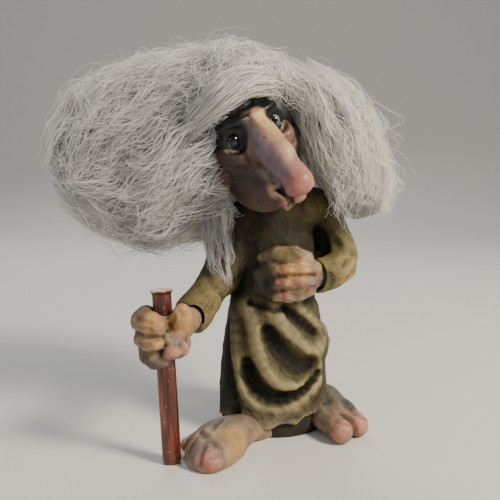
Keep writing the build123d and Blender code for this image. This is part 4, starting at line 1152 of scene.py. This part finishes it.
# Hands and feet: field, the box it lies in, mesh step, tooth as (amount, size, seed), pink finger and toe
# tips as (place, core, edge), washes of paint, some of them painted shade, as (place, core, edge, colour,
# share)
FLESH = {
    "right_hand": (
        fist_field, (-66, -62, 40), (-28, -22, 76), HAND_STEP, (0.16, 2.4, 61),
        (((-42.4, -56.5, 51), 2.0, 5.0), ((-37.5, -52, 52), 1, 4)),
        (((-38.8, -51, 63.6), 4, 8.5, "D4A872", 0.95), ((-50, -55, 63), 2.5, 7, "CFA068", 0.85),
         # Painted shade: the grey-purple washes on the fist's viewer-left side and underneath
         ((-49, -57, 55), 1.5, 4, "D0A468", 0.8), ((-59, -46, 56), 4, 10, "655A62", 0.9),
         ((-51, -51, 44), 4, 8.5, "62565C", 0.85), ((-58, -47, 66), 2, 5, "6A6460", 0.7))),
    "left_hand": (
        belly_hand_field, (-14, -36, 60), (29, -8, 96), HAND_STEP, (0.20, 2.0, 62),
        (((2.6, -28.5, 74.8), 1.5, 5.0), ((3.4, -27, 68.6), 1.0, 4.5)),
        (((9, -30, 81.5), 5, 9.5, "CFA068", 0.9), ((12, -29, 75.0), 2, 6, "BC9270", 0.7),
         ((13, -26, 70.0), 2, 6, "8E7A62", 0.7), ((6, -24, 90), 6.0, 9.5, "80704A", 0.95),
         # Painted shadow: the dark greys at the hand's viewer-left end
         ((-2.0, -22, 88), 4, 7, "6E6244", 0.9), ((-6.5, -20, 79), 6, 10.5, "38332C", 0.95),
         ((-3.5, -20, 69), 4, 8, "33302A", 0.9))),
    "right_foot": (
        right_foot_field, (-46, -64, -0.5), (6, -2, 18), FOOT_STEP, (0.20, 2.6, 63),
        (((-28, -57, 5), 3, 7.5), ((-38, -42, 6), 2, 5)),
        (((-25, -30, 14), 8, 15, "847A6C", 0.9), ((-16, -44, 7), 6, 12, "C8A26C", 0.85),
         ((-33, -50, 8), 3, 7, "7E6E6E", 0.7), ((-6, -19, 5), 4, 8, "A48A68", 0.7))),
    "left_foot": (
        left_foot_field, (4, -38, -0.5), (54, 18, 28), FOOT_STEP, (0.20, 2.6, 64),
        (((31, -29, 7), 3.5, 8), ((41.5, -20, 7.5), 3.5, 7.5)),
        (((28, -6, 17), 8, 16, "767062", 0.95), ((37, -13, 14), 2, 5.5, "4C4A48", 0.8),
         ((43, -9, 12), 1.5, 5, "A08A68", 0.7), ((25, -16, 10), 2, 6, "8A8270", 0.7))),
}


def sculpt_flesh():
    """Skins of both hands and both feet."""
    mat = skin_material("flesh_paint", 0.58, 0.25, 0.5, tooth=0.10)
    for node, (field, low, high, step, tooth, pinks, washes) in FLESH.items():
        made = toothed(sculpt(field, low, high, step), *tooth)
        if node.endswith("foot"):
            made = flat_sole(made)
        verts = made[0]
        small, _, dip = hollows(made, (7, 24), (1.5, 0.9))
        tone = fractal(verts, 5, 41, 3)
        coat = Coat(len(verts), "A48C76")
        coat.lay("BE9C76", step01(tone, 0.0, 0.5) * 0.7)
        coat.lay("7C6E6C", step01(-tone, 0.0, 0.5) * 0.7)
        for centre, core, edge, colour, share in washes:
            coat.lay(colour, (1 - step01(from_spot(verts, centre) + tone * 0.25 * edge, core, edge)) * share)
        for centre, core, edge in pinks:
            coat.lay("C48E7C", (1 - step01(from_spot(verts, centre), core, edge)) * 0.85)
        # Thin washes and painted shade darken the deep folds
        coat.lay("5C4A3E", step01(small, 0.12, 0.55) * 0.6)
        obj = dress(node + "_skin", made, mat, coat, dip)
        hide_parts(node)


# Walking stick: a peeled-end twig with its bark on
def make_stick():
    around, rows = 72, 190
    rng = np.random.default_rng(7)
    turn = np.linspace(0, 2 * math.pi, around, endpoint=False)
    t = np.linspace(0, 1, rows)
    facets = sum(rng.uniform(0.02, 0.05) * np.cos(k * turn + rng.uniform(0, 6.28)) for k in (2, 3, 5))
    wave = sum(rng.uniform(0.3, 1.0) * np.cos(k * turn + rng.uniform(0, 6.28)) for k in (7, 11, 17, 23)) / 3
    points = []
    for s in t:
        along = s * STICK_LENGTH
        height = np.array([along])
        twist = 0.25 * math.sin(along / 17)
        lines = np.interp(turn + twist, turn, wave, period=2 * math.pi)
        grain = 0.055 * lines * (0.6 + 0.4 * math.sin(along / 9))
        knot = 0.10 * math.exp(-((along - 24) / 2.5) ** 2) * np.maximum(np.cos(turn - 4.4), 0) ** 3
        flare = 0.75 * step01(height, STICK_LENGTH - 2.2, STICK_LENGTH)[0] \
            * (0.70 + 0.30 * np.abs(np.sin(turn * 4.5 + 2 * np.sin(turn * 3))) ** 0.5)
        foot = 0.5 * (1 - step01(height, 0, 1.6)[0])
        radius = STICK_RADIUS * (1 + facets * 0.8) + grain + knot + flare - foot
        ragged = (0.14 * np.sin(turn * 7 + 1) + 0.09 * np.sin(turn * 13)) \
            * step01(height, STICK_LENGTH - 3.5, STICK_LENGTH)[0]
        ragged = along + ragged - 0.2 * (s > 0.999)
        points.append(np.stack([radius * np.cos(turn), radius * np.sin(turn), ragged], 1))
    body = np.concatenate(points)
    # End grain: rings dip inside the torn rim, then close
    caps, cap_rows = [], (0.93, 0.86, 0.74, 0.58, 0.40, 0.22, 0.08)
    for share in cap_rows:
        ring = points[-1].copy()
        ring[:, :2] *= share
        ring[:, 2] = STICK_LENGTH - END_SUNK + 0.14 * np.sin(turn * 5 + share * 9) * share + 0.2 * (share > 0.9)
        caps.append(ring)
    verts = np.concatenate([body, *caps, [(0, 0, STICK_LENGTH - END_SUNK)], [(0, 0, 0.25)]])
    faces = []
    total = rows + len(cap_rows)
    for row in range(total - 1):
        for i in range(around):
            j = (i + 1) % around
            a, b = row * around, (row + 1) * around
            faces.append((a + i, a + j, b + j, b + i))
    last = (total - 1) * around
    for i in range(around):
        j = (i + 1) % around
        faces.append((last + i, last + j, len(verts) - 2))
        faces.append((j, i, len(verts) - 1))
    across = unit(np.cross(vec(0, 1, 0), STICK_WAY))
    placed = verts @ np.stack([across, np.cross(STICK_WAY, across), STICK_WAY]) + STICK_FOOT
    placed[:, 2] = np.maximum(placed[:, 2], 0.02)
    n = Nodes("stick_bark")
    where = n.coords()
    wood = n.attr("wood")
    lines = n.stretch(where, (1, 1, 0.08))
    broad = n.noise(lines, 420, 4, 0.6)
    fine = n.noise(lines, 1500, 4, 0.7)
    spots = n.noise(where, 700, 3, 0.6)
    bark = n.ramp(broad, [(0.28, "1E0B08"), (0.45, "4A1A10"), (0.58, "7A331C"), (0.74, "A5552E")])
    bark = n.mix(n.span(fine, 0.55, 0.3), bark, n.mix(1.0, bark, rgb("5A4038"), "MULTIPLY"))
    bark = n.mix(n.span(spots, 0.66, 0.74), bark, rgb("B98F6A"))
    end = n.ramp(n.noise(where, 800, 5, 0.7), [(0.3, "B98C6C"), (0.5, "E2C0A0"), (0.7, "F2DCC2")])
    colour = n.mix(wood, bark, end)
    normal = n.bump(fine, 0.15 * MM, 0.7)
    normal = n.bump(broad, 0.3 * MM, 0.5, normal)
    n.plug(n.shader.inputs["Coat Weight"], 0.35)
    n.plug(n.shader.inputs["Coat Roughness"], 0.18)
    rough = n.mix(wood, (0.34, 0.34, 0.34), (0.75, 0.75, 0.75))
    mat = n.finish(Base_Color=colour, Roughness=rough, Normal=normal)
    obj = new_object("stick_twig", placed, faces, mat, "stick")
    inner = np.zeros(len(verts))
    inner[rows * around:] = 1
    inner[-1] = 0.6
    put(obj, "wood", inner)
    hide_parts("walking_stick")


def dress_filling():
    """Cast filling under the hem keeps its solid and gets a mottled near-black surface, painted shade under the
    hem.
    """
    n = Nodes("filling_cast")
    where = n.coords()
    mottle = n.noise(where, 260, 5, 0.6)
    pores = n.add("TexVoronoi", {"Vector": where, "Scale": 900.0}).outputs["Distance"]
    # Near-black brown: painted shade under the hem
    colour = n.ramp(mottle, [(0.3, "18130E"), (0.55, "261E16"), (0.75, "362C20")])
    normal = n.bump(pores, 0.15 * MM, 0.5, n.bump(mottle, 0.3 * MM, 0.5))
    mat = n.finish(Base_Color=colour, Roughness=n.span(mottle, 0.3, 0.7, 0.7, 0.9), Normal=normal)
    node = nodes["body_filling"]
    node.data.materials.clear()
    node.data.materials.append(mat)


# Studio
def make_studio():
    n = Nodes("floor_paper")
    fine = n.noise(n.coords(), 60, 3)
    mat = n.finish(Base_Color=n.mix(fine, rgb("D9D6D0"), rgb("DEDBD5")), Roughness=0.9)
    # Floor that bends up into a wall behind the figure, in metres
    size, back, rise, top = 3.0, 0.9, 1.2, 3.2
    bend = [(back + rise * math.sin(a), rise * (1 - math.cos(a))) for a in np.linspace(0.1, math.pi / 2, 16)]
    rows = [(-size, 0), (back, 0)] + bend + [(back + rise, top)]
    verts = [(x * size * 1000, y * 1000, z * 1000) for y, z in rows for x in (-1, 1)]
    faces = [(2 * i, 2 * i + 1, 2 * i + 3, 2 * i + 2) for i in range(len(rows) - 1)]
    floor = new_object("studio_floor", np.array(verts, float), faces, mat, body=None)
    for name, place, size, power, colour in (
            ("key", (0.72, -0.50, 0.72), 0.32, 17.0, (1.0, 0.90, 0.76)),
            ("fill", (-0.9, -0.9, 0.6), 0.9, 2.6, (0.82, 0.91, 1.0)),
            ("back", (-0.25, 0.9, 0.9), 0.6, 6.0, (0.96, 0.98, 1.0))):
        data = bpy.data.lights.new(name, "AREA")
        data.shape, data.size, data.energy, data.color = "DISK", size, power, colour
        lamp = bpy.data.objects.new(name, data)
        lamp.location = place
        aim = Vector((-0.01, 0, 0.09)) - Vector(place)
        lamp.rotation_euler = aim.to_track_quat("-Z", "Y").to_euler()
        bpy.context.scene.collection.objects.link(lamp)
    world = bpy.data.worlds.new("studio")
    world.use_nodes = True
    sky = world.node_tree.nodes["Background"].inputs
    sky["Color"].default_value = (0.86, 0.89, 0.94, 1)
    sky["Strength"].default_value = 0.36
    bpy.context.scene.world = world


# Wool: glued tufts, each a lumpy core under thousands of thin strands
def table_of(rows, root, way, length, half_a, half_b, across=(0, 0, 1)):
    """Stations of a tuft from rows of (along, share a, share b, shift across): along, middle, half sizes."""
    rows = np.asarray(rows, float)
    middle = root + length * (rows[:, :1] * way + rows[:, 3:4] * vec(*across))
    return rows[:, 0], middle, half_a * rows[:, 1], half_b * rows[:, 2]


def oval_rows(middle, half_a, half_b, half_length, way):
    """Stations of an egg-shaped tuft along its axis."""
    share = np.linspace(0, 1, 25)
    wide = np.sqrt(np.maximum(1 - (2 * share - 1) ** 2, 0.0008))
    return share, middle + (2 * share - 1)[:, None] * way * half_length, half_a * wide, half_b * wide


SKULL = vec(-20.08, -12, 147)
DOWN, UPWARD, TO_FRONT, TO_RIGHT = vec(0, 0, -1), vec(0, 0, 1), vec(0, -1, 0), vec(1, 0, 0)
RIGHT_SWEEP = table_of(
    ((-0.30, 0.84, 0.84, 0.02), (0.00, 0.90, 0.88, 0.00), (0.20, 0.98, 0.98, -0.04),
     (0.40, 1.00, 1.00, -0.10), (0.60, 0.90, 0.92, -0.115), (0.78, 0.72, 0.74, -0.115),
     (0.90, 0.50, 0.52, -0.10), (0.98, 0.28, 0.28, -0.09), (1.00, 0.12, 0.12, -0.09)),
    SKULL + vec(0, 10, -5), vec(-1, 0, 0), 88.0, 42.0, 33.0)
LEFT_SWEEP = table_of(
    ((0.00, 0.60, 0.70, 0.16), (0.12, 0.95, 0.90, 0.30), (0.31, 1.00, 1.00, 0.43), (0.50, 0.97, 0.96, 0.52),
     (0.70, 0.87, 0.84, 0.58), (0.89, 0.72, 0.64, 0.63), (1.00, 0.35, 0.32, 0.65)),
    SKULL + vec(11.9, 13, 27.4), DOWN, 78.0, 20.0, 27.0, TO_RIGHT)
CROWN = oval_rows(SKULL + vec(0, 13, 8.5), 34.0, 33.0, 27.0, DOWN)
BACK = oval_rows(SKULL + vec(0, 29, -10), 34.0, 20.0, 38.0, DOWN)
LOCK = table_of(
    ((0.00, 0.80, 0.80, 0.0), (0.30, 1.00, 1.00, -0.07), (0.60, 0.90, 0.90, -0.07),
     (0.85, 0.60, 0.60, -0.06), (1.00, 0.25, 0.25, -0.05)),
    vec(-24.6, -12.1, 117), DOWN, 46.0, 8.0, 2.8, TO_FRONT * -1)


def tuft_point(tuft, side_a, side_b, s, turn, reach):
    """Place in a tuft: s along it, turn round it from side_a towards side_b, reach 1 at its outside."""
    at, middle, half_a, half_b = tuft
    centre = np.stack([np.interp(s, at, middle[:, i]) for i in range(3)], -1)
    a = np.interp(s, at, half_a) * reach * np.cos(turn)
    b = np.interp(s, at, half_b) * reach * np.sin(turn)
    return centre + a[..., None] * side_a + b[..., None] * side_b


# Corners round the bare face as the camera sees it, across and down the picture
FACE_OUTLINE = np.array([
    (247, 98), (236, 104), (229, 118), (222, 128), (219, 140), (216, 152), (219, 162), (226, 168),
    (232, 178), (231, 188), (228, 196), (240, 212), (262, 222), (300, 216), (330, 206), (322, 190),
    (312, 172), (304, 158), (300, 142), (299, 128), (290, 114), (281, 103), (266, 97)], float)
VIEW_SCALE = PICTURE_SIDE * LENS / SENSOR


def to_view(p):
    """Where a place is seen in the photograph's frame."""
    d = p - CAMERA_PLACE
    cos, sin = math.cos(CAMERA_PITCH), math.sin(CAMERA_PITCH)
    depth = d[..., 1] * cos - d[..., 2] * sin
    up = d[..., 1] * sin + d[..., 2] * cos
    half = PICTURE_SIDE / 2
    return half + VIEW_SCALE * d[..., 0] / depth, half - VIEW_SCALE * up / depth


def over_face(p):
    """True where wool would hang in front of the bare face."""
    x, y = to_view(p)
    inside = np.zeros(x.shape, bool)
    n = len(FACE_OUTLINE)
    for i in range(n):
        (x0, y0), (x1, y1) = FACE_OUTLINE[i], FACE_OUTLINE[(i + 1) % n]
        if y0 != y1:
            cross = ((y0 > y) != (y1 > y)) & (x < (x1 - x0) * (y - y0) / (y1 - y0) + x0)
            inside ^= cross
    return inside & (p[..., 1] < 4)


def face_window(p):
    """Distance to the space in front of the face that stays free of wool."""
    q = (p - SKULL) @ HEAD_TURN.T
    ahead = q[:, 0]
    at = (-5, 0, 20.5, 41, 82)
    wide = np.interp(ahead, at, (0.5, 8.5, 17.5, 22.5, 31.5))
    high = np.interp(ahead, at, (0.5, 15, 25.5, 30, 36))
    middle = -np.interp(ahead, at, (8.5, 8.7, 11.2, 15, 20))
    k = np.sqrt((q[:, 1] / wide) ** 2 + ((q[:, 2] - middle) / high) ** 2)
    return (k - 1) * np.minimum(wide, high)


def push_out(p, field, gap):
    flat = p.reshape(-1, 3)
    d = field(flat)
    hit = d < gap
    if hit.any():
        way, _ = slope(field, flat[hit], 0.4)
        flat[hit] += way * (gap - d[hit])[:, None]
    return flat.reshape(p.shape)


def solids_near(p):
    """Head, robe and sleeves, which the wool lies on."""
    d = np.minimum(head_rough(p), robe_plain(p))
    left, right = robe_arms(p)
    return np.minimum(d, np.minimum(left, right))


def head_rough(p):
    q = to_head(p)
    d = blob(q, (-20, 0, 4), (20.5, 20, 22.5))
    d = soft_min(d, blob(q, (-8, 0, -3), (12.5, 17.5, 14.5)), 6)
    return soft_min(d, blob(q, (-4.5, 0, -21), (17.0, 17.5, 17.5)), 6)


def stick_way_field(p):
    return rod(p, stick_at(40), stick_at(200), STICK_ROOM, STICK_ROOM)


def off_the_stick(paths):
    """Whether each strand leaves the lifted stick its room, also between its points."""
    shares = np.linspace(0, 1, 5)[:-1]
    between = paths[:, :-1, None] + (paths[:, 1:] - paths[:, :-1])[:, :, None] * shares[:, None]
    return stick_way_field(between.reshape(-1, 3)).reshape(len(paths), -1).min(1) > -1.2


def resample(paths, first, count):
    """Each path from its own first point to its end, with count points."""
    n, k, _ = paths.shape
    t = first[:, None] + (k - 1 - first[:, None]) * np.linspace(0, 1, count)[None]
    i = np.clip(t.astype(int), 0, k - 2)
    f = (t - i)[..., None]
    rows = np.arange(n)[:, None]
    return paths[rows, i] * (1 - f) + paths[rows, i + 1] * f


def grow(rng, tuft, sides, clumps, each, start, length, reach, drift, wave, spread, swirl, curl):
    """Clumps of strands that run along a tuft near its outside, with each strand's tone."""
    side_a, side_b = sides
    n = clumps * each
    rep = lambda values: np.repeat(values, each)
    s0 = rep(rng.uniform(*start, clumps)) + rng.normal(0, 0.015, n)
    span = rep(rng.uniform(*length, clumps)) * rng.uniform(0.8, 1.1, n)
    turn0 = rep(rng.uniform(-math.pi, math.pi, clumps)) + rng.normal(0, 0.03, n)
    out = rep(rng.uniform(*reach, clumps)) + rng.normal(0, 0.015, n)
    bend = rep(rng.normal(0, swirl, clumps)) + rng.normal(0, 0.06, n)
    free = rep(rng.uniform(0.80, 1.0, clumps)) + rng.normal(0, 0.02, n) - s0
    span = np.minimum(span, np.maximum(free, 0.12))
    t = np.linspace(0, 1, GROWN_POINTS)[None]
    s = s0[:, None] + span[:, None] * t
    turn = turn0[:, None] + (drift * np.sin(turn0))[:, None] * t * span[:, None] + bend[:, None] * t ** 1.3
    s = s - np.maximum(s - 0.985, 0) * 1.6
    paths = tuft_point(tuft, side_a, side_b, s, turn, out[:, None])
    # Waves that a clump shares, then each strand's own
    for scale, rows, low, high in ((wave, clumps, 1.0, 2.6), (wave * 0.45, n, 2.0, 5.0)):
        for axis in range(3):
            phase = rng.uniform(0, 6.28, rows)
            rate = rng.uniform(low, high, rows)
            size = rng.normal(0, scale, rows)
            if rows == clumps:
                phase, rate, size = rep(phase), rep(rate), rep(size)
            waves = np.sin(phase[:, None] + rate[:, None] * t * 6.28 * span[:, None] * 1.3)
            paths[..., axis] += size[:, None] * (waves - np.sin(phase)[:, None] * (1 - t) ** 4)
    paths = paths + rng.normal(0, spread, (n, 1, 3)) * (1.0 - 0.55 * t[..., None])
    # Curls that open towards the tips
    radius = rep(rng.uniform(0.3, 1.0, clumps) * curl)
    phase = rep(rng.uniform(0, 6.28, clumps)) + rng.normal(0, 0.3, n)
    spin = rep(rng.uniform(4, 9, clumps) * rng.choice((-1, 1), clumps))
    angle = phase[:, None] + spin[:, None] * t
    paths = paths + (radius[:, None] * t ** 1.5)[..., None] * (np.cos(angle)[..., None] * side_a
                                                             + np.sin(angle)[..., None] * side_b)
    flat = paths.reshape(-1, 3)
    lumps = np.stack([fractal(flat, 17, 100 + i, 2) for i in range(3)], 1) * 3.0
    lumps += np.stack([fractal(flat, 6, 120 + i, 1) for i in range(3)], 1) * 0.8
    paths = (flat + lumps).reshape(paths.shape)
    return paths, rep(rng.normal(0, 0.13, clumps)) + rng.normal(0, 0.12, n)


def clear_of_face(paths, tone, keep_share):
    """Cuts the roots that start over the bare face and drops strands that would cross it."""
    bad = over_face(paths)
    k = paths.shape[1]
    last = np.where(bad.any(1), k - 1 - np.argmax(bad[:, ::-1], axis=1), -1)
    first = last + 1
    keep = first < k * (1 - keep_share)
    return paths[keep], tone[keep], first[keep].astype(float)


def tubes(paths, radius, seed):
    """Closed three-sided tubes round the paths, as vertices and triangles."""
    rng = np.random.default_rng(seed)
    n, k, _ = paths.shape
    way = np.gradient(paths, axis=1)
    way /= np.maximum(np.linalg.norm(way, axis=2, keepdims=True), 1e-9)
    side = np.cross(way, rng.normal(size=(n, 1, 3)))
    side /= np.maximum(np.linalg.norm(side, axis=2, keepdims=True), 1e-9)
    other = np.cross(way, side)
    angles = np.arange(3) * 2 * math.pi / 3
    ring = np.cos(angles)[:, None] * side[:, :, None] + np.sin(angles)[:, None] * other[:, :, None]
    verts = (paths[:, :, None] + radius[:, :, None, None] * ring).reshape(-1, 3)
    base = (np.arange(n)[:, None, None] * k + np.arange(k - 1)[None, :, None]) * 3
    i = np.arange(3)[None, None]
    j = (i + 1) % 3
    a, b, c, d = base + i, base + j, base + 3 + j, base + 3 + i
    walls = np.concatenate([np.stack([a, b, c], -1), np.stack([a, c, d], -1)], 2).reshape(-1, 3)
    first = (np.arange(n) * k * 3)[:, None]
    last = first + (k - 1) * 3
    caps = np.concatenate([first + np.array([[0, 2, 1]]), last + np.array([[0, 1, 2]])])
    return verts, np.concatenate([walls, caps])


def wool(name, mat, node, paths, tone, radius, count, first, seed, pale):
    """Strand pieces of one tuft, each under the mesh limit."""
    paths = resample(paths, first, count)
    paths = push_out(paths, solids_near, WOOL_GAP)
    paths = push_out(paths, stick_way_field, 0.0)
    paths[..., 2] = np.maximum(paths[..., 2], 2)
    clear = off_the_stick(paths)
    paths, tone = paths[clear], tone[clear]
    rng = np.random.default_rng(seed)
    t = np.linspace(0, 1, count)[None]
    thick = radius * rng.uniform(0.7, 1.25, (len(paths), 1)) * (1 - 0.72 * t ** 3)
    thick = thick * (0.55 + 0.45 * np.minimum(t * 8, 1))
    middle = paths[:, count // 2]
    # Strand tone varies at random by area, with painted light paler toward the top and the viewer's right
    tone_and_painted_light = fractal(middle, 24, 141, 2) * 0.22 + 0.10 * step01(middle[:, 2], 140, 178) \
        + 0.16 * step01(middle[:, 0], -40, 10)
    shade = np.clip(0.57 + tone + tone_and_painted_light + pale, 0.03, 1.0)
    # Each strand is a tube of (count - 1) * 6 + 2 triangles
    chunk = WOOL_LIMIT // ((count - 1) * 6 + 2)
    for i, begin in enumerate(range(0, len(paths), chunk)):
        part = slice(begin, begin + chunk)
        verts, faces = tubes(paths[part], thick[part], seed + i)
        obj = new_object(f"{name}_{i + 1}" if len(paths) > chunk else name, verts, faces, mat)
        values = shade[part, None] + 0.10 * t ** 2
        put(obj, "tone", np.repeat(values.ravel(), 3))
        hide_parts(node)


def wool_materials():
    n = Nodes("wool_strands")
    tone = n.attr("tone")
    speck = n.noise(n.coords(), 420, 3, 0.6)
    value = n.math("ADD", tone, n.span(speck, 0.3, 0.7, -0.09, 0.09))
    colour = n.ramp(value, [(0.0, "444346"), (0.22, "7C7C80"), (0.45, "AFB0B3"), (0.66, "D6D5D3"),
                            (0.85, "EFEBE3"), (1.0, "FAF6EE")])
    n.plug(n.shader.inputs["Sheen Weight"], 0.35)
    n.plug(n.shader.inputs["Sheen Roughness"], 0.4)
    n.plug(n.shader.inputs["Specular IOR Level"], 0.3)
    strands = n.finish(Base_Color=colour, Roughness=n.span(speck, 0.3, 0.7, 0.5, 0.7))
    n = Nodes("wool_core")
    where = n.attr("grain", "Vector")
    fibre = n.noise(where, 900, 5, 0.75)
    broad = n.noise(n.coords(), 120, 3, 0.6)
    mixed = n.math("ADD", n.math("MULTIPLY", fibre, 0.7), n.math("MULTIPLY", broad, 0.4))
    # Core greys a little darker than the strands: the wool's own grey with painted shade deep in the mass
    colour = n.ramp(mixed, [(0.32, "464547"), (0.5, "7C7B7C"), (0.68, "A6A5A3"), (0.85, "CBC8C2")])
    normal = n.bump(fibre, 0.5 * MM, 0.9)
    core = n.finish(Base_Color=colour, Roughness=0.9, Normal=normal)
    return strands, core


def tuft_field(tuft, side_a, side_b, way, share):
    """Distance to a tuft's outside scaled by share: nearest station along the tuft's way."""
    _, middle, half_a, half_b = tuft
    along = middle @ way
    order = np.argsort(along)

    def field(p):
        h = p @ way
        centre = np.stack([np.interp(h, along[order], middle[order, i]) for i in range(3)], -1)
        a = np.interp(h, along[order], half_a[order]) * share
        b = np.interp(h, along[order], half_b[order]) * share
        q = p - centre
        k = np.sqrt(((q @ side_a) / np.maximum(a, 0.3)) ** 2 + ((q @ side_b) / np.maximum(b, 0.3)) ** 2)
        d = (k - 1) * np.minimum(np.maximum(a, 0.3), np.maximum(b, 0.3))
        low, high = along[order][0], along[order][-1]
        return -soft_min(-d, -np.maximum(low + 5 - h, h - high + 5), 12)

    return field


def wool_core(name, node, mat, tuft, sides, way, share, low, high, flow):
    """Lumpy mass of a tuft, cut clear of the face, the skins and the stick's way."""
    tuft_mass = tuft_field(tuft, *sides, way, share)

    def field(p):
        d = tuft_mass(p) + fractal(p, 13, 77, 2) * 2.4
        d = np.maximum(d, -(face_window(p) - 1.0))
        d = np.maximum(d, -(stick_way_field(p) - 1.5))
        return np.maximum(d, -(solids_near(p) + 1.0) * 0.9)

    verts, quads, normals, _ = sculpt(field, low, high, WOOL_STEP, 1)
    grain = brushed(verts, np.tile(unit(flow), (len(verts), 1)))
    verts = verts + (fractal(grain, 2.6, 88, 2) * 0.5)[:, None] * normals
    obj = new_object(name, verts, quads, mat)
    put(obj, "grain", grain * MM)
    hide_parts(node)


UP_FRONT, RIGHT_FRONT = (UPWARD, TO_FRONT), (TO_RIGHT, TO_FRONT)
# Cores: tuft by name and stations, its sides, its way, share of its size, the box it lies in, the wool's run
CORES = (
    ("right_sweep", RIGHT_SWEEP, UP_FRONT, vec(-1, 0, 0), 0.86, (-112, -38, 92), (-6, 40, 186),
     (-1, 0, -0.3)),
    ("left_sweep", LEFT_SWEEP, RIGHT_FRONT, DOWN, 0.84, (-8, -30, 92), (62, 32, 180), (0.2, 0, -1)),
    ("crown", CROWN, RIGHT_FRONT, DOWN, 0.86, (-56, -38, 124), (18, 38, 186), (0.5, -0.5, 0.3)),
    ("back", BACK, RIGHT_FRONT, DOWN, 0.86, (-58, -8, 96), (18, 42, 178), (0, 0.1, -1)))
# Strands: piece, node, tuft, its sides, then (share of each strand that must lie clear of the face, scale of
# the tones, radius, points, seed, paleness), and the groups of clumps as (clumps, strands in each, start along
# the tuft, length, reach, drift, wave, spread, swirl, curl)
STRANDS = (
    # Viewer's left mass: long strands over the whole sweep, then those that follow its rounded end
    ("right_sweep_wool", "hair_right_sweep", RIGHT_SWEEP, UP_FRONT, (0.35, 1.0, 0.125, 15, 31, 0.05), (
        (400, 7, (-0.28, 0.45), (0.40, 0.75), (0.88, 1.06), 0.9, 2.4, 1.2, 0.42, 2.2),
        (150, 7, (0.40, 0.85), (0.10, 0.40), (0.90, 1.08), 3.4, 2.2, 1.1, 1.0, 3.4))),
    ("right_sweep_fluff", "hair_right_sweep", RIGHT_SWEEP, UP_FRONT, (0.35, 1.0, 0.06, 16, 41, 0.22), (
        (260, 3, (-0.2, 0.75), (0.25, 0.6), (1.00, 1.15), 1.4, 3.4, 2.2, 0.7, 4.6),)),
    ("left_sweep_wool", "hair_left_sweep", LEFT_SWEEP, RIGHT_FRONT, (0.35, 0.8, 0.12, 14, 51, 0.14), (
        (270, 7, (-0.02, 0.55), (0.30, 0.60), (0.88, 1.04), 0.25, 2.2, 1.2, 0.36, 2.2),)),
    ("left_sweep_fluff", "hair_left_sweep", LEFT_SWEEP, RIGHT_FRONT, (0.35, 1.0, 0.06, 14, 61, 0.26), (
        (180, 3, (0.0, 0.75), (0.2, 0.5), (1.0, 1.13), 0.4, 3.0, 2.0, 0.6, 3.6),)),
    ("crown_wool", "hair_crown", CROWN, RIGHT_FRONT, (0.5, 1.0, 0.115, 14, 71, 0.12), (
        (200, 7, (0.0, 0.25), (0.30, 0.60), (0.92, 1.05), 0.2, 2.0, 1.3, 0.5, 2.4),
        (110, 3, (0.0, 0.4), (0.25, 0.5), (1.0, 1.12), 0.4, 3.0, 2.0, 0.8, 3.6))),
    ("back_wool", "hair_back", BACK, RIGHT_FRONT, (0.35, 1.0, 0.14, 14, 81, 0.0), (
        (170, 7, (0.05, 0.45), (0.35, 0.6), (0.92, 1.06), 0.1, 1.8, 1.2, 0.25, 1.6),)),
    ("hanging_wool", "hair_hanging_lock", LOCK, RIGHT_FRONT, (0.35, 1.0, 0.11, 14, 91, 0.0), (
        (36, 7, (-0.02, 0.3), (0.45, 0.85), (0.5, 1.15), 0.0, 0.9, 0.7, 0.3, 0.6),)))


# The fringe's line from one side of the brow to the other, in the head's own directions
FRINGE_ENDS = ((0.35, -1.15, 0.30), (0.55, -1.0, 0.50), (0.88, -0.5, 0.80), (0.95, 0.0, 0.92),
               (0.88, 0.5, 0.80), (0.55, 1.0, 0.50), (0.35, 1.1, 0.20))
FRINGE_POINTS, FRINGE_STRANDS = 30, 560


def make_wool():
    strands, core = wool_materials()
    rng = np.random.default_rng(20)
    for name, *rest in CORES:
        wool_core(name + "_core", "hair_" + name, core, *rest)
    for name, node, tuft, sides, (keep_share, tones, radius, count, seed, pale), groups in STRANDS:
        grown = [grow(rng, tuft, sides, *group) for group in groups]
        paths, tone, first = clear_of_face(np.concatenate([paths for paths, _ in grown]),
                                           np.concatenate([tone for _, tone in grown]) * tones, keep_share)
        wool(name, strands, node, paths, tone, radius, count, first, seed, pale)
    # Fringe: wool arched over the brow from one side to the other
    ends = [SKULL + vec(20.5 * ahead, 21.0 * left, 20.5 * up) @ HEAD_TURN for ahead, left, up in FRINGE_ENDS]
    last = FRINGE_POINTS - 1
    roll = smooth_path(ends, FRINGE_POINTS)
    n = FRINGE_STRANDS
    s0, span = rng.uniform(-0.1, 0.55, n), rng.uniform(0.35, 0.6, n)
    t = np.linspace(0, 1, FRINGE_POINTS)[None]
    s = np.clip(s0[:, None] + span[:, None] * t, 0, 1) * last
    i = np.clip(s.astype(int), 0, last - 1)
    line = roll[i] + (roll[i + 1] - roll[i]) * (s - i)[..., None]
    turn = rng.uniform(0, 6.28, n)[:, None] + rng.normal(0, 0.8, n)[:, None] * t
    reach = rng.uniform(0.5, 1.05, n)[:, None] * (4.0 + 2.5 * np.sin(s / last * math.pi))
    line = line + (reach * np.cos(turn))[..., None] * HEAD_AHEAD + (reach * np.sin(turn))[..., None] * HEAD_UP
    lumps = fractal(line.reshape(-1, 3), 6, 150, 2).reshape(n, FRINGE_POINTS, 1) * vec(1, 0.6, 1)
    line = line + rng.normal(0, 0.5, (n, 1, 3)) + lumps
    tone = rng.normal(-0.02, 0.15, n)
    wool("fringe_wool", strands, "hair_fringe", line, tone, 0.13, 14, np.zeros(n), 101, 0.05)


make_studio()
sculpt_robe()
sculpt_head()
make_eyes()
sculpt_flesh()
make_stick()
dress_filling()
make_wool()
